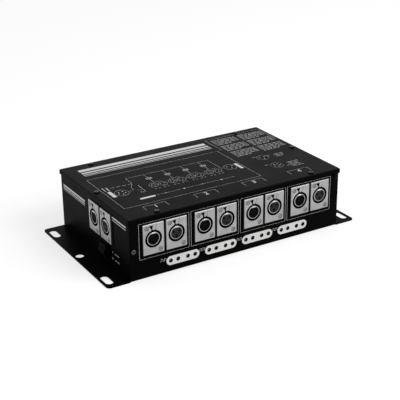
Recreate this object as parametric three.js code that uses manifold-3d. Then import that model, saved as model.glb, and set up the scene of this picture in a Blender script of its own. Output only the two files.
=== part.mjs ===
// A four-way DMX signal splitter in a folded sheet steel case with two mounting ears.
// Sizes are in millimetres. The origin is at the centre of the underside.
// +X runs to the right along the case, -Y is the front with the eight outputs, +Z is up.

import * as THREE from "three";
import { mergeVertices } from "three/addons/utils/BufferGeometryUtils.js";
import Module from "manifold-3d";

const wasm = await Module();
wasm.setup();

// Case
const caseLength = 275;
const caseDepth = 172;
const caseHeight = 72;
const traySheet = 1.5;
const lidSheet = 1;
const lidLip = 5.5;
const lidBend = 2;
const lidCornerRadius = 0.6;
const flangeWidth = 10;
const footFlangeWidth = 8;
const flangeEndGap = 2;

// Ears, which are the tray's floor carried past the ends of the case
const earReach = 25.5;
const earCornerRadius = 4.5;
const earHoleInset = 7.3;
const earHoleDiameter = 10;
const earSlotLength = 21;
const earSlotWidth = 9;
const earSlotSpacing = 135;

// Clearances and cutters
const lidGap = 0.3;
const sheetGap = 0.2;
const panelGap = 0.3;
const runningGap = 0.35;
const pressGap = 0.1;
const overrun = 2;
const weldDistance = 1e-5;

// Screws
const screwRadius = 1.4;
const screwHoleRadius = 1.7;
const screwHeadRadius = 3.1;
const screwHeadTopRadius = 2.2;
const screwHeadHeight = 1.8;
const screwLength = 8;
const lidScrewSetback = 37.5;
const leftWallScrewHeight = 35;
const rightWallScrewDrop = 3.8;
const wallScrewInset = 4.4;

// Round signal connectors, sized from the barrel behind the plate
const barrelRadius = 11.7;
const barrelDepth = 22;
const barrelWall = 2;
const plateSideMargin = 1.3;
const plateEndMargin = 5.8;
const plateThickness = 2;
const plateCornerRadius = 0.8;
const grooveWidth = 1.7;
const grooveDepth = 14;
const ringWall = 1.6;
const ringRecess = 0.5;
const insertRecess = 0.9;
const insertTail = 1;
const contactDepth = 8;
const solderPinRadius = 0.8;
const solderPinLength = 4;

// Contacts: where they lie round the insert, how far in from its edge, and their radii
const threePin = { angles: [155, 25, 270], inset: 2.4, hole: 1.3, pin: 1.2 };
const fivePin = { angles: [150, 30, 210, 330, 270], inset: 2.1, hole: 0.9, pin: 0.8 };

// Push latch above each socket
const latchTall = 5.8;
const latchTopWidth = 7.4;
const latchFootWidth = 5.6;
const latchDepth = 6;
const latchTravel = 1.5;
const latchHookWidth = 3.6;
const latchHookReach = 1;
const latchHookDepth = 3;
const latchHookLength = 1.6;

// Plug receptacles on the right end
const shellWall = 2.2;
const pinDiscBack = 18;
const pinDiscThickness = 5;
const pinRecess = 1.5;

// Layout of the front
const channelCount = 4;
const plateGap = 1.8;
const channelGap = 9.2;
const plateLidGap = 3.8;
const lampGroupSpacing = 48.1;
const lampHeight = 13.25;
const lampInnerOffset = 6.05;
const lampOuterOffset = 15.1;

// Layout of the ends, measured to the right of the middle as each end is faced
const endPairCentre = 19.1;
const endPlateGap = 2.1;
const endPlateLidGap = 3.2;
const terminationSwitchPlace = 28.4;
const powerSwitchPlace = 8;
const switchPlateGap = 0.6;
const inletPlace = 49;
const inletHeight = 35;

// Rocker switches, sized from the rocker
const bezelSideOverlap = 1.5;
const bezelEndOverlap = 1.6;
const bezelThickness = 2;
const bezelCornerRadius = 1;
const switchWall = 1;
const rockerWidth = 14.3;
const rockerHeight = 16.4;
const rockerRidge = 7.2;
const rockerShoulder = 2.2;
const rockerDepth = 3;
const rockerFootHeight = 14.8;
const rockerPivotDepth = 1;
const rockerPivotRadius = 1.2;
const rockerTilt = 9;
const rockerEndGap = 0.8;
const rockerWellDepth = 5.5;
const switchBodyDepth = 13;
const switchTabWidth = 4.8;
const switchTabThickness = 0.8;
const switchTabLength = 8;
const switchTabSpacing = 9;

// Mains inlet with its fuse drawer, sized from the fuse
const inletBodyWall = 2.15;
const inletBodyHeight = 31;
const inletBodyDepth = 26;
const inletEarWidth = 10.5;
const inletEndOverlap = 1.5;
const inletFlangeThickness = 3;
const inletCornerRadius = 3;
const inletScrewInset = 5;
const socketWidth = 24.2;
const socketTall = 16.4;
const socketChamfer = 4.5;
const socketDepth = 17;
const socketRise = 5.2;
const bladeSpacing = 14;
const bladeThickness = 2;
const bladeTall = 4;
const bladeLength = 14;
const earthBladeRise = 3.6;
const liveBladeDrop = 1;
const drawerWall = 1.65;
const drawerTall = 8.2;
const drawerDrop = 9.4;
const drawerDepth = 21;
const drawerFrontThickness = 1.2;
const drawerLipTall = 1.2;
const drawerLipReach = 1.4;
const fuseLength = 20;
const fuseRadius = 2.5;
const fuseCapLength = 5;
const fuseCapRadius = 2.6;
const fusePlace = 6.4;
const inletTabWidth = 6.3;
const inletTabThickness = 0.8;
const inletTabLength = 9;
const inletTabSpacing = 9;

// Electronics
const boardLength = 211;
const boardTransformerGap = 15;
const boardThickness = 1.6;
const boardUnderside = 8;
const boardShift = -7.5;
const boardWallGap = 4.5;
const studRadius = 3;
const studTipRadius = 1.5;
const studTipHeight = 2;
const studHoleRadius = 1.9;
const studInset = 6;
const lampBlockLength = 37;
const lampBlockDepth = 6;
const lampBlockHeight = 7.2;
const lampBlockSetback = 5;
const lampRadius = 1.5;
const lampHoleRadius = 2.15;
const lampSink = 0.6;
const chipLength = 10;
const chipDepth = 6.5;
const chipHeight = 3.5;
const chipPlaceShare = 0.32;
const couplerLength = 5;
const couplerSpacing = 16;
const capRadius = 5;
const capHeight = 14;
const capSpacing = 14;
const headerLength = 20;
const headerDepth = 5;
const headerHeight = 8;
const heatsinkWidth = 26;
const heatsinkLength = 20;
const heatsinkHeight = 22;
const heatsinkBase = 3;
const finCount = 5;
const finThickness = 2;
const transformerSideGap = 38;
const transformerBackGap = 15;
const coreLength = 54;
const coreDepth = 22;
const coreHeight = 44;
const coilLength = 36;
const coilDepth = 42;
const coilHeight = 30;
const coilCornerRadius = 6;
const strapLength = 74;
const strapDepth = 14;
const strapThickness = 1.5;

// Faceting
const roundSides = 16;
const smallSides = 8;
const pinSides = 6;
const slotSteps = 4;
const cornerSteps = 2;
const foldSteps = 3;
const domeRings = 4;

// Planes worked out from the case
const wallX = caseLength / 2 - lidSheet - lidGap;
const wallY = caseDepth / 2 - lidSheet - lidGap;
const lidUnder = caseHeight - lidSheet;
const innerX = wallX - traySheet;
const innerY = wallY - traySheet;
const boardTop = boardUnderside + boardThickness;
const boardFront = -innerY + boardWallGap;
const transformerX = innerX - transformerSideGap - strapLength / 2;
const transformerY = innerY - transformerBackGap - coilDepth / 2;
const boardBack = transformerY - coilDepth / 2 - boardTransformerGap;
const boardDepth = boardBack - boardFront;
const plateWidth = 2 * (barrelRadius + plateSideMargin);
const plateHeight = 2 * (barrelRadius + plateEndMargin);
const grooveOuterRadius = barrelRadius - barrelWall;
const grooveInnerRadius = grooveOuterRadius - grooveWidth;
const insertRadius = grooveInnerRadius - ringWall - pressGap;
const shellRadius = barrelRadius - shellWall;
const latchFootHeight = grooveOuterRadius + pressGap;
const latchTopHeight = latchFootHeight + latchTall;
const pairSpacing = plateWidth + plateGap;
const endPairSpacing = plateWidth + endPlateGap;
const channelSpacing = plateWidth + pairSpacing + channelGap;
const lipBottom = caseHeight - lidLip;
const rightWallScrewHeight = lipBottom - rightWallScrewDrop;
const socketHeight = lipBottom - plateLidGap - plateHeight / 2;
const endSocketHeight = lipBottom - endPlateLidGap - plateHeight / 2;
const wallScrewPlace = wallX - wallScrewInset;
const flangeMiddle = wallY - flangeWidth / 2;
const endFlangeMiddle = wallX - flangeWidth / 2;

function material(color, roughness, metalness) {
  return new THREE.MeshStandardMaterial({ color, roughness, metalness });
}

const paints = {
  topPaint: material(0x2b2b2d, 0.6, 0.2),
  casePaint: material(0x17171a, 0.55, 0.2),
  blackScrew: material(0x222224, 0.4, 0.8),
  plate: material(0xa9a9ad, 0.35, 0.9),
  darkPlastic: material(0x101012, 0.5, 0),
  greyPlastic: material(0x3a3a3e, 0.55, 0),
  contact: material(0xb8b8b4, 0.3, 1),
  board: material(0x1f5a36, 0.5, 0),
  core: material(0x6e6a64, 0.6, 0.5),
  aluminium: material(0xb4b6b8, 0.4, 0.9),
  fuse: material(0xd4d4cf, 0.2, 0.6),
};

function toSolid(geometry) {
  const bare = new THREE.BufferGeometry();
  bare.setAttribute("position", geometry.getAttribute("position"));
  bare.setIndex(geometry.getIndex());
  const welded = mergeVertices(bare, weldDistance);
  const mesh = new wasm.Mesh({
    numProp: 3,
    vertProperties: Float32Array.from(welded.getAttribute("position").array),
    triVerts: Uint32Array.from(welded.getIndex().array),
  });
  return new wasm.Manifold(mesh);
}

function toGeometry(solid) {
  const mesh = solid.getMesh();
  const geometry = new THREE.BufferGeometry();
  geometry.setAttribute("position", new THREE.BufferAttribute(mesh.vertProperties, mesh.numProp));
  geometry.setIndex(new THREE.BufferAttribute(mesh.triVerts, 1));
  geometry.computeVertexNormals();
  return geometry;
}

function joined(solids) {
  return solids.reduce((whole, solid) => whole.add(solid));
}

function without(solid, cutters) {
  return cutters.reduce((rest, cutter) => rest.subtract(cutter), solid);
}

function block(x0, x1, y0, y1, z0, z1) {
  const geometry = new THREE.BoxGeometry(x1 - x0, y1 - y0, z1 - z0);
  geometry.translate((x0 + x1) / 2, (y0 + y1) / 2, (z0 + z1) / 2);
  return toSolid(geometry);
}

// A round bar along Z, which tapers when its top has a radius of its own
function post(radius, x, y, z0, z1, sides = roundSides, topRadius = radius) {
  const geometry = new THREE.CylinderGeometry(topRadius, radius, z1 - z0, sides);
  geometry.rotateX(Math.PI / 2);
  geometry.translate(x, y, (z0 + z1) / 2);
  return toSolid(geometry);
}

function barAlongX(radius, x0, x1, y, z, sides) {
  const geometry = new THREE.CylinderGeometry(radius, radius, x1 - x0, sides);
  geometry.rotateZ(Math.PI / 2);
  geometry.translate((x0 + x1) / 2, y, z);
  return toSolid(geometry);
}

function roundedOutline(width, height, radius, x = 0, y = 0) {
  const right = width / 2;
  const top = height / 2;
  const shape = new THREE.Shape();
  shape.absarc(x + right - radius, y + top - radius, radius, 0, Math.PI / 2);
  shape.absarc(x - right + radius, y + top - radius, radius, Math.PI / 2, Math.PI);
  shape.absarc(x - right + radius, y - top + radius, radius, Math.PI, Math.PI * 3 / 2);
  shape.absarc(x + right - radius, y - top + radius, radius, Math.PI * 3 / 2, Math.PI * 2);
  shape.closePath();
  return shape;
}

function outline(points) {
  return new THREE.Shape(points.map(([x, y]) => new THREE.Vector2(x, y)));
}

function slab(shape, z0, z1, steps = cornerSteps) {
  const settings = { depth: z1 - z0, bevelEnabled: false, curveSegments: steps };
  const geometry = new THREE.ExtrudeGeometry(shape, settings);
  geometry.translate(0, 0, z0);
  return toSolid(geometry);
}

// A panel's own axes are right and up as its outside is faced, and out of the case.
function panelAxes(right, up, out, origin) {
  const axes = new THREE.Matrix4().makeBasis(right, up, out);
  return { axes, right, up, origin };
}

const east = new THREE.Vector3(1, 0, 0);
const west = new THREE.Vector3(-1, 0, 0);
const north = new THREE.Vector3(0, 1, 0);
const south = new THREE.Vector3(0, -1, 0);
const above = new THREE.Vector3(0, 0, 1);

const panels = {
  front: panelAxes(east, above, south, new THREE.Vector3(0, -wallY, 0)),
  left: panelAxes(south, above, west, new THREE.Vector3(-wallX, 0, 0)),
  right: panelAxes(north, above, east, new THREE.Vector3(wallX, 0, 0)),
};

function panelPoint(panel, across, height) {
  const point = panel.origin.clone();
  point.addScaledVector(panel.right, across);
  point.addScaledVector(panel.up, height);
  return point;
}

// A cutter made in a panel's axes, moved to its place in the case
function cutterOn(panel, solid, across, height) {
  const geometry = toGeometry(solid);
  geometry.applyMatrix4(panel.axes);
  const place = panelPoint(panel, across, height);
  geometry.translate(place.x, place.y, place.z);
  return toSolid(geometry);
}

const splitter = new THREE.Group();

function addPiece(name, solid, paint, place = new THREE.Vector3()) {
  const mesh = new THREE.Mesh(toGeometry(solid), paint);
  mesh.name = name;
  mesh.position.copy(place);
  splitter.add(mesh);
}

function addOnPanel(name, solid, paint, panel, across, height) {
  const geometry = toGeometry(solid);
  geometry.applyMatrix4(panel.axes);
  const mesh = new THREE.Mesh(geometry, paint);
  mesh.name = name;
  mesh.position.copy(panelPoint(panel, across, height));
  splitter.add(mesh);
}

function ringOfPosts(contacts, radius, z0, z1) {
  return contacts.angles.map((degrees) => {
    const angle = THREE.MathUtils.degToRad(degrees);
    const circle = insertRadius - contacts.inset;
    const x = circle * Math.cos(angle);
    const y = circle * Math.sin(angle);
    return post(radius, x, y, z0, z1, pinSides);
  });
}

// The latch's outline tapers towards the socket, and grows by a gap where it is a slot.
function latchOutline(gap, footHeight) {
  const foot = latchFootWidth / 2 + gap;
  const top = latchTopWidth / 2 + gap;
  return outline([
    [-foot, footHeight],
    [foot, footHeight],
    [top, latchTopHeight + gap],
    [-top, latchTopHeight + gap],
  ]);
}

function connectorPlate() {
  const plate = slab(roundedOutline(plateWidth, plateHeight, plateCornerRadius), 0, plateThickness);
  return plate.add(post(barrelRadius, 0, 0, -barrelDepth, plateThickness / 2));
}

function socketHousing() {
  const front = plateThickness + overrun;
  const groove = post(grooveOuterRadius, 0, 0, plateThickness - grooveDepth, front);
  const ring = post(grooveInnerRadius, 0, 0, -grooveDepth - overrun, plateThickness - ringRecess);
  const bore = post(insertRadius + pressGap, 0, 0, -barrelDepth - overrun, front);
  const slotBack = plateThickness - latchDepth - latchTravel - runningGap;
  const grooveMiddle = (grooveOuterRadius + grooveInnerRadius) / 2;
  const slot = slab(latchOutline(runningGap, grooveMiddle), slotBack, front);
  return without(connectorPlate(), [groove.subtract(ring), bore, slot]);
}

function socketInsert(contacts) {
  const front = plateThickness - insertRecess;
  const back = -barrelDepth - insertTail;
  const body = post(insertRadius, 0, 0, back, front);
  const holes = ringOfPosts(contacts, contacts.hole, front - contactDepth, front + overrun);
  const pins = ringOfPosts(contacts, solderPinRadius, back - solderPinLength, back + insertTail);
  return joined([without(body, holes), ...pins]);
}

function pushLatch() {
  const tab = slab(latchOutline(0, latchFootHeight), plateThickness - latchDepth, plateThickness);
  const hookFront = plateThickness - latchHookDepth;
  const hook = block(
    -latchHookWidth / 2, latchHookWidth / 2,
    latchFootHeight - latchHookReach, latchFootHeight + latchHookReach,
    hookFront - latchHookLength, hookFront,
  );
  return tab.add(hook);
}

function plugHousing() {
  const bore = post(shellRadius, 0, 0, -barrelDepth - overrun, plateThickness + overrun);
  return connectorPlate().subtract(bore);
}

function pinInsert(contacts) {
  const front = -pinDiscBack + pinDiscThickness;
  const disc = post(shellRadius - pressGap, 0, 0, -pinDiscBack, front);
  const pins = ringOfPosts(contacts, contacts.pin, -pinDiscBack, plateThickness - pinRecess);
  const tailEnd = -pinDiscBack - solderPinLength - insertTail;
  const tails = ringOfPosts(contacts, solderPinRadius, tailEnd, -pinDiscBack + insertTail);
  return joined([disc, ...pins, ...tails]);
}

// The hole behind a socket is round, with a notch above for the latch to move in.
function socketCutout() {
  const round = post(barrelRadius + panelGap, 0, 0, -traySheet - overrun, overrun);
  const notchWidth = latchTopWidth / 2 + runningGap + panelGap;
  const notchTop = latchTopHeight + runningGap + panelGap;
  const notch = block(-notchWidth, notchWidth, 0, notchTop, -traySheet - overrun, overrun);
  return round.add(notch);
}

function plugCutout() {
  return post(barrelRadius + panelGap, 0, 0, -traySheet - overrun, overrun);
}

function screwCutout() {
  return post(screwHoleRadius, 0, 0, -traySheet * 2 - sheetGap - overrun, overrun, smallSides);
}

function panHeadScrew(length) {
  const shank = post(screwRadius, 0, 0, -length, screwHeadHeight / 2, smallSides);
  const head = post(screwHeadRadius, 0, 0, 0, screwHeadHeight, smallSides, screwHeadTopRadius);
  return shank.add(head);
}

const rockerWellHeight = rockerHeight + 2 * rockerEndGap;
const switchBodyWidth = rockerWidth + 2 * runningGap + 2 * switchWall;
const switchBodyHeight = rockerWellHeight + 2 * switchWall;
const bezelWidth = switchBodyWidth + 2 * bezelSideOverlap;
const bezelHeight = switchBodyHeight + 2 * bezelEndOverlap;
const switchHeight = endSocketHeight - plateHeight / 2 - switchPlateGap - bezelHeight / 2;

function switchCutout() {
  const width = switchBodyWidth / 2 + panelGap;
  const height = switchBodyHeight / 2 + panelGap;
  return block(-width, width, -height, height, -traySheet - overrun, overrun);
}

function switchFrame() {
  const bezel = slab(roundedOutline(bezelWidth, bezelHeight, bezelCornerRadius), 0, bezelThickness);
  const halfWidth = switchBodyWidth / 2;
  const halfHeight = switchBodyHeight / 2;
  const body = block(
    -halfWidth, halfWidth, -halfHeight, halfHeight, -switchBodyDepth, bezelThickness / 2,
  );
  const wellWidth = rockerWidth / 2 + runningGap;
  const wellHeight = rockerWellHeight / 2;
  const well = block(
    -wellWidth, wellWidth, -wellHeight, wellHeight, -rockerWellDepth, bezelThickness + overrun,
  );
  const pivotHole = barAlongX(
    rockerPivotRadius + panelGap, -bezelWidth, bezelWidth, 0, -rockerPivotDepth, smallSides,
  );
  const tabs = [-switchTabSpacing / 2, switchTabSpacing / 2].map((y) => block(
    -switchTabWidth / 2, switchTabWidth / 2,
    y - switchTabThickness / 2, y + switchTabThickness / 2,
    -switchBodyDepth - switchTabLength, -switchBodyDepth + switchTabThickness,
  ));
  return joined([without(body.add(bezel), [well, pivotHole]), ...tabs]);
}

// The rocker is a ridged bar on two pivot stubs, drawn tilted with its upper half out.
function switchRocker() {
  const top = rockerHeight / 2;
  const foot = rockerFootHeight / 2;
  const section = outline([
    [-foot, -rockerDepth], [foot, -rockerDepth], [top, rockerShoulder],
    [0, rockerRidge], [-top, rockerShoulder],
  ]);
  const settings = { depth: rockerWidth, bevelEnabled: false };
  const geometry = new THREE.ExtrudeGeometry(section, settings);
  geometry.translate(0, 0, -rockerWidth / 2);
  const turn = new THREE.Matrix4().makeBasis(north, above, east);
  geometry.applyMatrix4(turn);
  const stubEnd = rockerWidth / 2 + runningGap + switchWall / 2;
  const stubs = barAlongX(rockerPivotRadius, -stubEnd, stubEnd, 0, -rockerPivotDepth, smallSides);
  const level = toGeometry(toSolid(geometry).add(stubs));
  level.translate(0, 0, rockerPivotDepth);
  level.rotateX(THREE.MathUtils.degToRad(rockerTilt));
  level.translate(0, 0, -rockerPivotDepth);
  return toSolid(level);
}

const drawerWidth = fuseLength + 2 * runningGap + 2 * drawerWall;
const inletBodyWidth = drawerWidth + 2 * runningGap + 2 * inletBodyWall;
const inletFlangeWidth = inletBodyWidth + 2 * inletEarWidth;
const inletFlangeHeight = inletBodyHeight + 2 * inletEndOverlap;
const inletScrewPlace = inletFlangeWidth / 2 - inletScrewInset;

function inletCutout() {
  const width = inletBodyWidth / 2 + panelGap;
  const height = inletBodyHeight / 2 + panelGap;
  return block(-width, width, -height, height, -traySheet - overrun, overrun);
}

function socketOutline() {
  const right = socketWidth / 2;
  const top = socketRise + socketTall / 2;
  const low = socketRise - socketTall / 2;
  return outline([
    [-right, low], [right, low], [right, top - socketChamfer], [right - socketChamfer, top],
    [-right + socketChamfer, top], [-right, top - socketChamfer],
  ]);
}

function blade(x, y, z0, z1) {
  return block(
    x - bladeThickness / 2, x + bladeThickness / 2, y - bladeTall / 2, y + bladeTall / 2, z0, z1,
  );
}

function mainsInlet() {
  const flange = slab(
    roundedOutline(inletFlangeWidth, inletFlangeHeight, inletCornerRadius), 0, inletFlangeThickness,
  );
  const halfWidth = inletBodyWidth / 2;
  const halfHeight = inletBodyHeight / 2;
  const body = block(
    -halfWidth, halfWidth, -halfHeight, halfHeight, -inletBodyDepth, inletFlangeThickness / 2,
  );
  const front = inletFlangeThickness + overrun;
  const floor = inletFlangeThickness - socketDepth;
  const socket = slab(socketOutline(), floor, front);
  const drawerHalf = drawerWidth / 2 + runningGap;
  const drawerWell = block(
    -drawerHalf, drawerHalf,
    -drawerDrop - drawerTall / 2 - runningGap, -drawerDrop + drawerTall / 2 + runningGap,
    inletFlangeThickness - drawerDepth - runningGap, front,
  );
  const screwHoles = [-1, 1].map((side) => post(
    screwHoleRadius, side * inletScrewPlace, 0, -overrun, front, smallSides,
  ));
  const bladeFront = floor + bladeLength;
  const bladeBack = floor - bladeThickness;
  const liveHeight = socketRise - liveBladeDrop;
  const blades = [
    blade(-bladeSpacing / 2, liveHeight, bladeBack, bladeFront),
    blade(bladeSpacing / 2, liveHeight, bladeBack, bladeFront),
    blade(0, socketRise + earthBladeRise, bladeBack, bladeFront),
  ];
  const tabs = [-1, 0, 1].map((side) => block(
    side * inletTabSpacing - inletTabWidth / 2, side * inletTabSpacing + inletTabWidth / 2,
    socketRise - inletTabThickness / 2, socketRise + inletTabThickness / 2,
    -inletBodyDepth - inletTabLength, -inletBodyDepth + inletTabThickness,
  ));
  const hollow = without(body.add(flange), [socket, drawerWell, ...screwHoles]);
  return joined([hollow, ...blades, ...tabs]);
}

function fuseDrawer() {
  const half = drawerWidth / 2;
  const low = -drawerTall / 2;
  const back = inletFlangeThickness - drawerDepth;
  const front = inletFlangeThickness + drawerFrontThickness;
  const tray = block(-half, half, low, -low, back, front);
  const lip = block(
    -half, half, -low - drawerLipTall, -low, front - drawerFrontThickness, front + drawerLipReach,
  );
  const troughHalf = fuseLength / 2 + runningGap;
  const troughReach = fuseCapRadius + runningGap;
  const trough = block(
    -troughHalf, troughHalf, -fuseCapRadius - runningGap, overrun - low,
    -fusePlace - troughReach, -fusePlace + troughReach,
  );
  return tray.add(lip).subtract(trough);
}

function cartridgeFuse() {
  const half = fuseLength / 2;
  const glass = barAlongX(fuseRadius, -half, half, 0, -fusePlace, smallSides);
  const leftCap = barAlongX(fuseCapRadius, -half, -half + fuseCapLength, 0, -fusePlace, smallSides);
  const rightCap = barAlongX(fuseCapRadius, half - fuseCapLength, half, 0, -fusePlace, smallSides);
  return joined([glass, leftCap, rightCap]);
}

const channels = Array.from({ length: channelCount }, (_, index) => {
  const fromMiddle = index - (channelCount - 1) / 2;
  return {
    number: index + 1,
    middle: fromMiddle * channelSpacing,
    lampMiddle: fromMiddle * lampGroupSpacing,
  };
});
const lampOffsets = [-lampOuterOffset, -lampInnerOffset, lampInnerOffset, lampOuterOffset];

const boardStuds = [-1, 0, 1].flatMap((side) => [boardFront + lampBlockSetback + lampBlockDepth
  + studInset, boardBack - studInset].map((y) => ({
  x: boardShift + side * (boardLength / 2 - studInset),
  y,
})));

function earHoles() {
  const x = caseLength / 2 + earReach - earHoleInset;
  const cut = [];
  for (const side of [-1, 1]) {
    cut.push(post(earHoleDiameter / 2, side * x, 0, -overrun, traySheet + overrun));
    for (const end of [-1, 1]) {
      const y = end * earSlotSpacing / 2;
      const slot = roundedOutline(
        earSlotWidth, earSlotLength, earSlotWidth / 2 - weldDistance, side * x, y,
      );
      cut.push(slab(slot, -overrun, traySheet + overrun, slotSteps));
    }
  }
  return cut;
}

function trayWall(side) {
  const outer = side * wallY;
  const inner = side * innerY;
  const flangeEdge = side * (wallY - flangeWidth);
  const flangeHalf = innerX - sheetGap;
  const wall = block(
    -wallX, wallX, Math.min(outer, inner), Math.max(outer, inner), 0, lidUnder,
  );
  const flange = block(
    -flangeHalf, flangeHalf, Math.min(outer, flangeEdge), Math.max(outer, flangeEdge),
    lidUnder - traySheet, lidUnder,
  );
  return wall.add(flange);
}

function boardStud({ x, y }) {
  const shoulder = post(studRadius, x, y, traySheet / 2, boardUnderside, smallSides);
  const tip = post(
    studTipRadius, x, y, boardUnderside - studTipHeight, boardTop + studTipHeight, smallSides,
  );
  return shoulder.add(tip);
}

function lidScrewPlaces() {
  const x = caseLength / 2 - lidScrewSetback;
  return {
    front_left: [-x, -flangeMiddle],
    front_right: [x, -flangeMiddle],
    back_left: [-x, flangeMiddle],
    back_right: [x, flangeMiddle],
    left: [-endFlangeMiddle, 0],
    right: [endFlangeMiddle, 0],
  };
}

function lidScrewHoles(z0, z1) {
  const places = Object.values(lidScrewPlaces());
  return places.map(([x, y]) => post(screwHoleRadius, x, y, z0, z1, smallSides));
}

function wallScrewHoles() {
  return [
    cutterOn(panels.front, screwCutout(), -wallScrewPlace, leftWallScrewHeight),
    cutterOn(panels.front, screwCutout(), wallScrewPlace, rightWallScrewHeight),
  ];
}

function baseTray() {
  const floorLength = caseLength + 2 * earReach;
  const floor = slab(roundedOutline(floorLength, 2 * wallY, earCornerRadius), 0, traySheet);
  const cut = [...earHoles(), ...wallScrewHoles()];
  for (const { middle, lampMiddle } of channels) {
    cut.push(cutterOn(panels.front, socketCutout(), middle - pairSpacing / 2, socketHeight));
    cut.push(cutterOn(panels.front, socketCutout(), middle + pairSpacing / 2, socketHeight));
    for (const offset of lampOffsets) {
      const hole = post(lampHoleRadius, 0, 0, -traySheet - overrun, overrun, smallSides);
      cut.push(cutterOn(panels.front, hole, lampMiddle + offset, lampHeight));
    }
  }
  cut.push(...lidScrewHoles(lidUnder - traySheet - overrun, lidUnder + overrun));
  const folded = joined([floor, trayWall(-1), trayWall(1)]);
  return joined([without(folded, cut), ...boardStuds.map(boardStud)]);
}

// An end panel is a sheet with flanges folded in at the front, the back, the top and the foot.
function endPanel(side) {
  const between = (a, b) => [Math.min(side * a, side * b), Math.max(side * a, side * b)];
  const edge = innerY - sheetGap;
  const flangeX = between(wallX, wallX - flangeWidth);
  const cornerY = wallY - flangeWidth - flangeEndGap;
  const returnLow = 2 * traySheet + flangeEndGap;
  const returnHigh = lidUnder - traySheet - flangeEndGap;
  const sheets = [
    block(...between(wallX, innerX), -edge, edge, traySheet, lidUnder),
    block(...flangeX, -cornerY, cornerY, lidUnder - traySheet, lidUnder),
    block(...between(wallX, wallX - footFlangeWidth), -cornerY, cornerY, traySheet, 2 * traySheet),
    block(...flangeX, -edge, -edge + traySheet, returnLow, returnHigh),
    block(...flangeX, edge - traySheet, edge, returnLow, returnHigh),
  ];
  const screwHoles = [
    ...wallScrewHoles(),
    ...lidScrewHoles(lidUnder - traySheet - overrun, lidUnder + overrun),
  ];
  return without(joined(sheets), screwHoles);
}

function leftEndPanel() {
  const cut = [-1, 1].map((step) => cutterOn(
    panels.left, socketCutout(), endPairCentre + step * endPairSpacing / 2, endSocketHeight,
  ));
  cut.push(cutterOn(panels.left, switchCutout(), terminationSwitchPlace, switchHeight));
  return without(endPanel(-1), cut);
}

function rightEndPanel() {
  const cut = [-1, 1].map((step) => cutterOn(
    panels.right, plugCutout(), -endPairCentre + step * endPairSpacing / 2, endSocketHeight,
  ));
  cut.push(cutterOn(panels.right, switchCutout(), powerSwitchPlace, switchHeight));
  cut.push(cutterOn(panels.right, inletCutout(), inletPlace, inletHeight));
  for (const side of [-1, 1]) {
    const across = inletPlace + side * inletScrewPlace;
    cut.push(cutterOn(panels.right, screwCutout(), across, inletHeight));
  }
  return without(endPanel(1), cut);
}

function lidCover() {
  const width = caseLength - 2 * lidBend;
  const depth = caseDepth - 2 * lidBend;
  const settings = {
    depth: lidLip,
    bevelThickness: lidBend,
    bevelSize: lidBend,
    bevelSegments: foldSteps,
    curveSegments: cornerSteps,
  };
  const geometry = new THREE.ExtrudeGeometry(roundedOutline(width, depth, lidCornerRadius), settings);
  geometry.translate(0, 0, caseHeight - lidLip - lidBend);
  const innerHalfX = caseLength / 2 - lidSheet;
  const innerHalfY = caseDepth / 2 - lidSheet;
  const hollow = block(-innerHalfX, innerHalfX, -innerHalfY, innerHalfY, 0, lidUnder);
  const below = block(-caseLength, caseLength, -caseDepth, caseDepth, 0, lipBottom);
  const screwHoles = lidScrewHoles(lidUnder - overrun, caseHeight + overrun);
  return without(toSolid(geometry), [hollow, below, ...screwHoles]);
}

// Lamp blocks are made in the front panel's axes, from its outer face inwards.
function lampBlock() {
  const front = -(traySheet + boardWallGap + lampBlockSetback - lampBlockDepth);
  const low = boardTop - lampHeight;
  const body = block(
    -lampBlockLength / 2, lampBlockLength / 2, low, low + lampBlockHeight, front - lampBlockDepth, front,
  );
  const tip = -lampSink - lampRadius;
  const lamps = lampOffsets.map((x) => {
    const dome = new THREE.SphereGeometry(lampRadius, smallSides, domeRings);
    dome.rotateX(Math.PI / 2);
    dome.translate(x, 0, tip);
    return post(lampRadius, x, 0, front - lampRadius, tip, smallSides).add(toSolid(dome));
  });
  return joined([body, ...lamps]);
}

function partOnBoard(x, y, length, depth, height) {
  return block(
    x - length / 2, x + length / 2, y - depth / 2, y + depth / 2, boardTop - boardThickness / 2,
    boardTop + height,
  );
}

function mainBoard() {
  const left = boardShift - boardLength / 2;
  const board = block(left, left + boardLength, boardFront, boardBack, boardUnderside, boardTop);
  const holes = boardStuds.map(({ x, y }) => post(
    studHoleRadius, x, y, boardUnderside - overrun, boardTop + overrun, smallSides,
  ));
  const rowY = boardFront + boardDepth * chipPlaceShare;
  const backRowY = boardBack - 2 * studInset;
  const parts = [];
  for (const { lampMiddle } of channels) {
    parts.push(partOnBoard(lampMiddle, rowY, chipLength, chipDepth, chipHeight));
    parts.push(partOnBoard(lampMiddle, rowY + couplerSpacing, couplerLength, chipDepth, chipHeight));
    parts.push(partOnBoard(lampMiddle, backRowY, headerLength, headerDepth, headerHeight));
  }
  const cupX = boardShift + boardLength / 2 - 2 * capSpacing;
  for (const step of [-1, 0, 1]) {
    const y = rowY + couplerSpacing + step * capSpacing;
    parts.push(post(capRadius, cupX, y, boardTop - boardThickness / 2, boardTop + capHeight, smallSides));
  }
  return joined([without(board, holes), ...parts]);
}

function regulatorHeatsink() {
  const pitch = (heatsinkWidth - finThickness) / (finCount - 1);
  const base = block(
    -heatsinkWidth / 2, heatsinkWidth / 2, -heatsinkLength / 2, heatsinkLength / 2, 0, heatsinkBase,
  );
  const fins = Array.from({ length: finCount }, (_, index) => {
    const x = -heatsinkWidth / 2 + index * pitch;
    return block(
      x, x + finThickness, -heatsinkLength / 2, heatsinkLength / 2, heatsinkBase / 2, heatsinkHeight,
    );
  });
  return joined([base, ...fins]);
}

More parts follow.
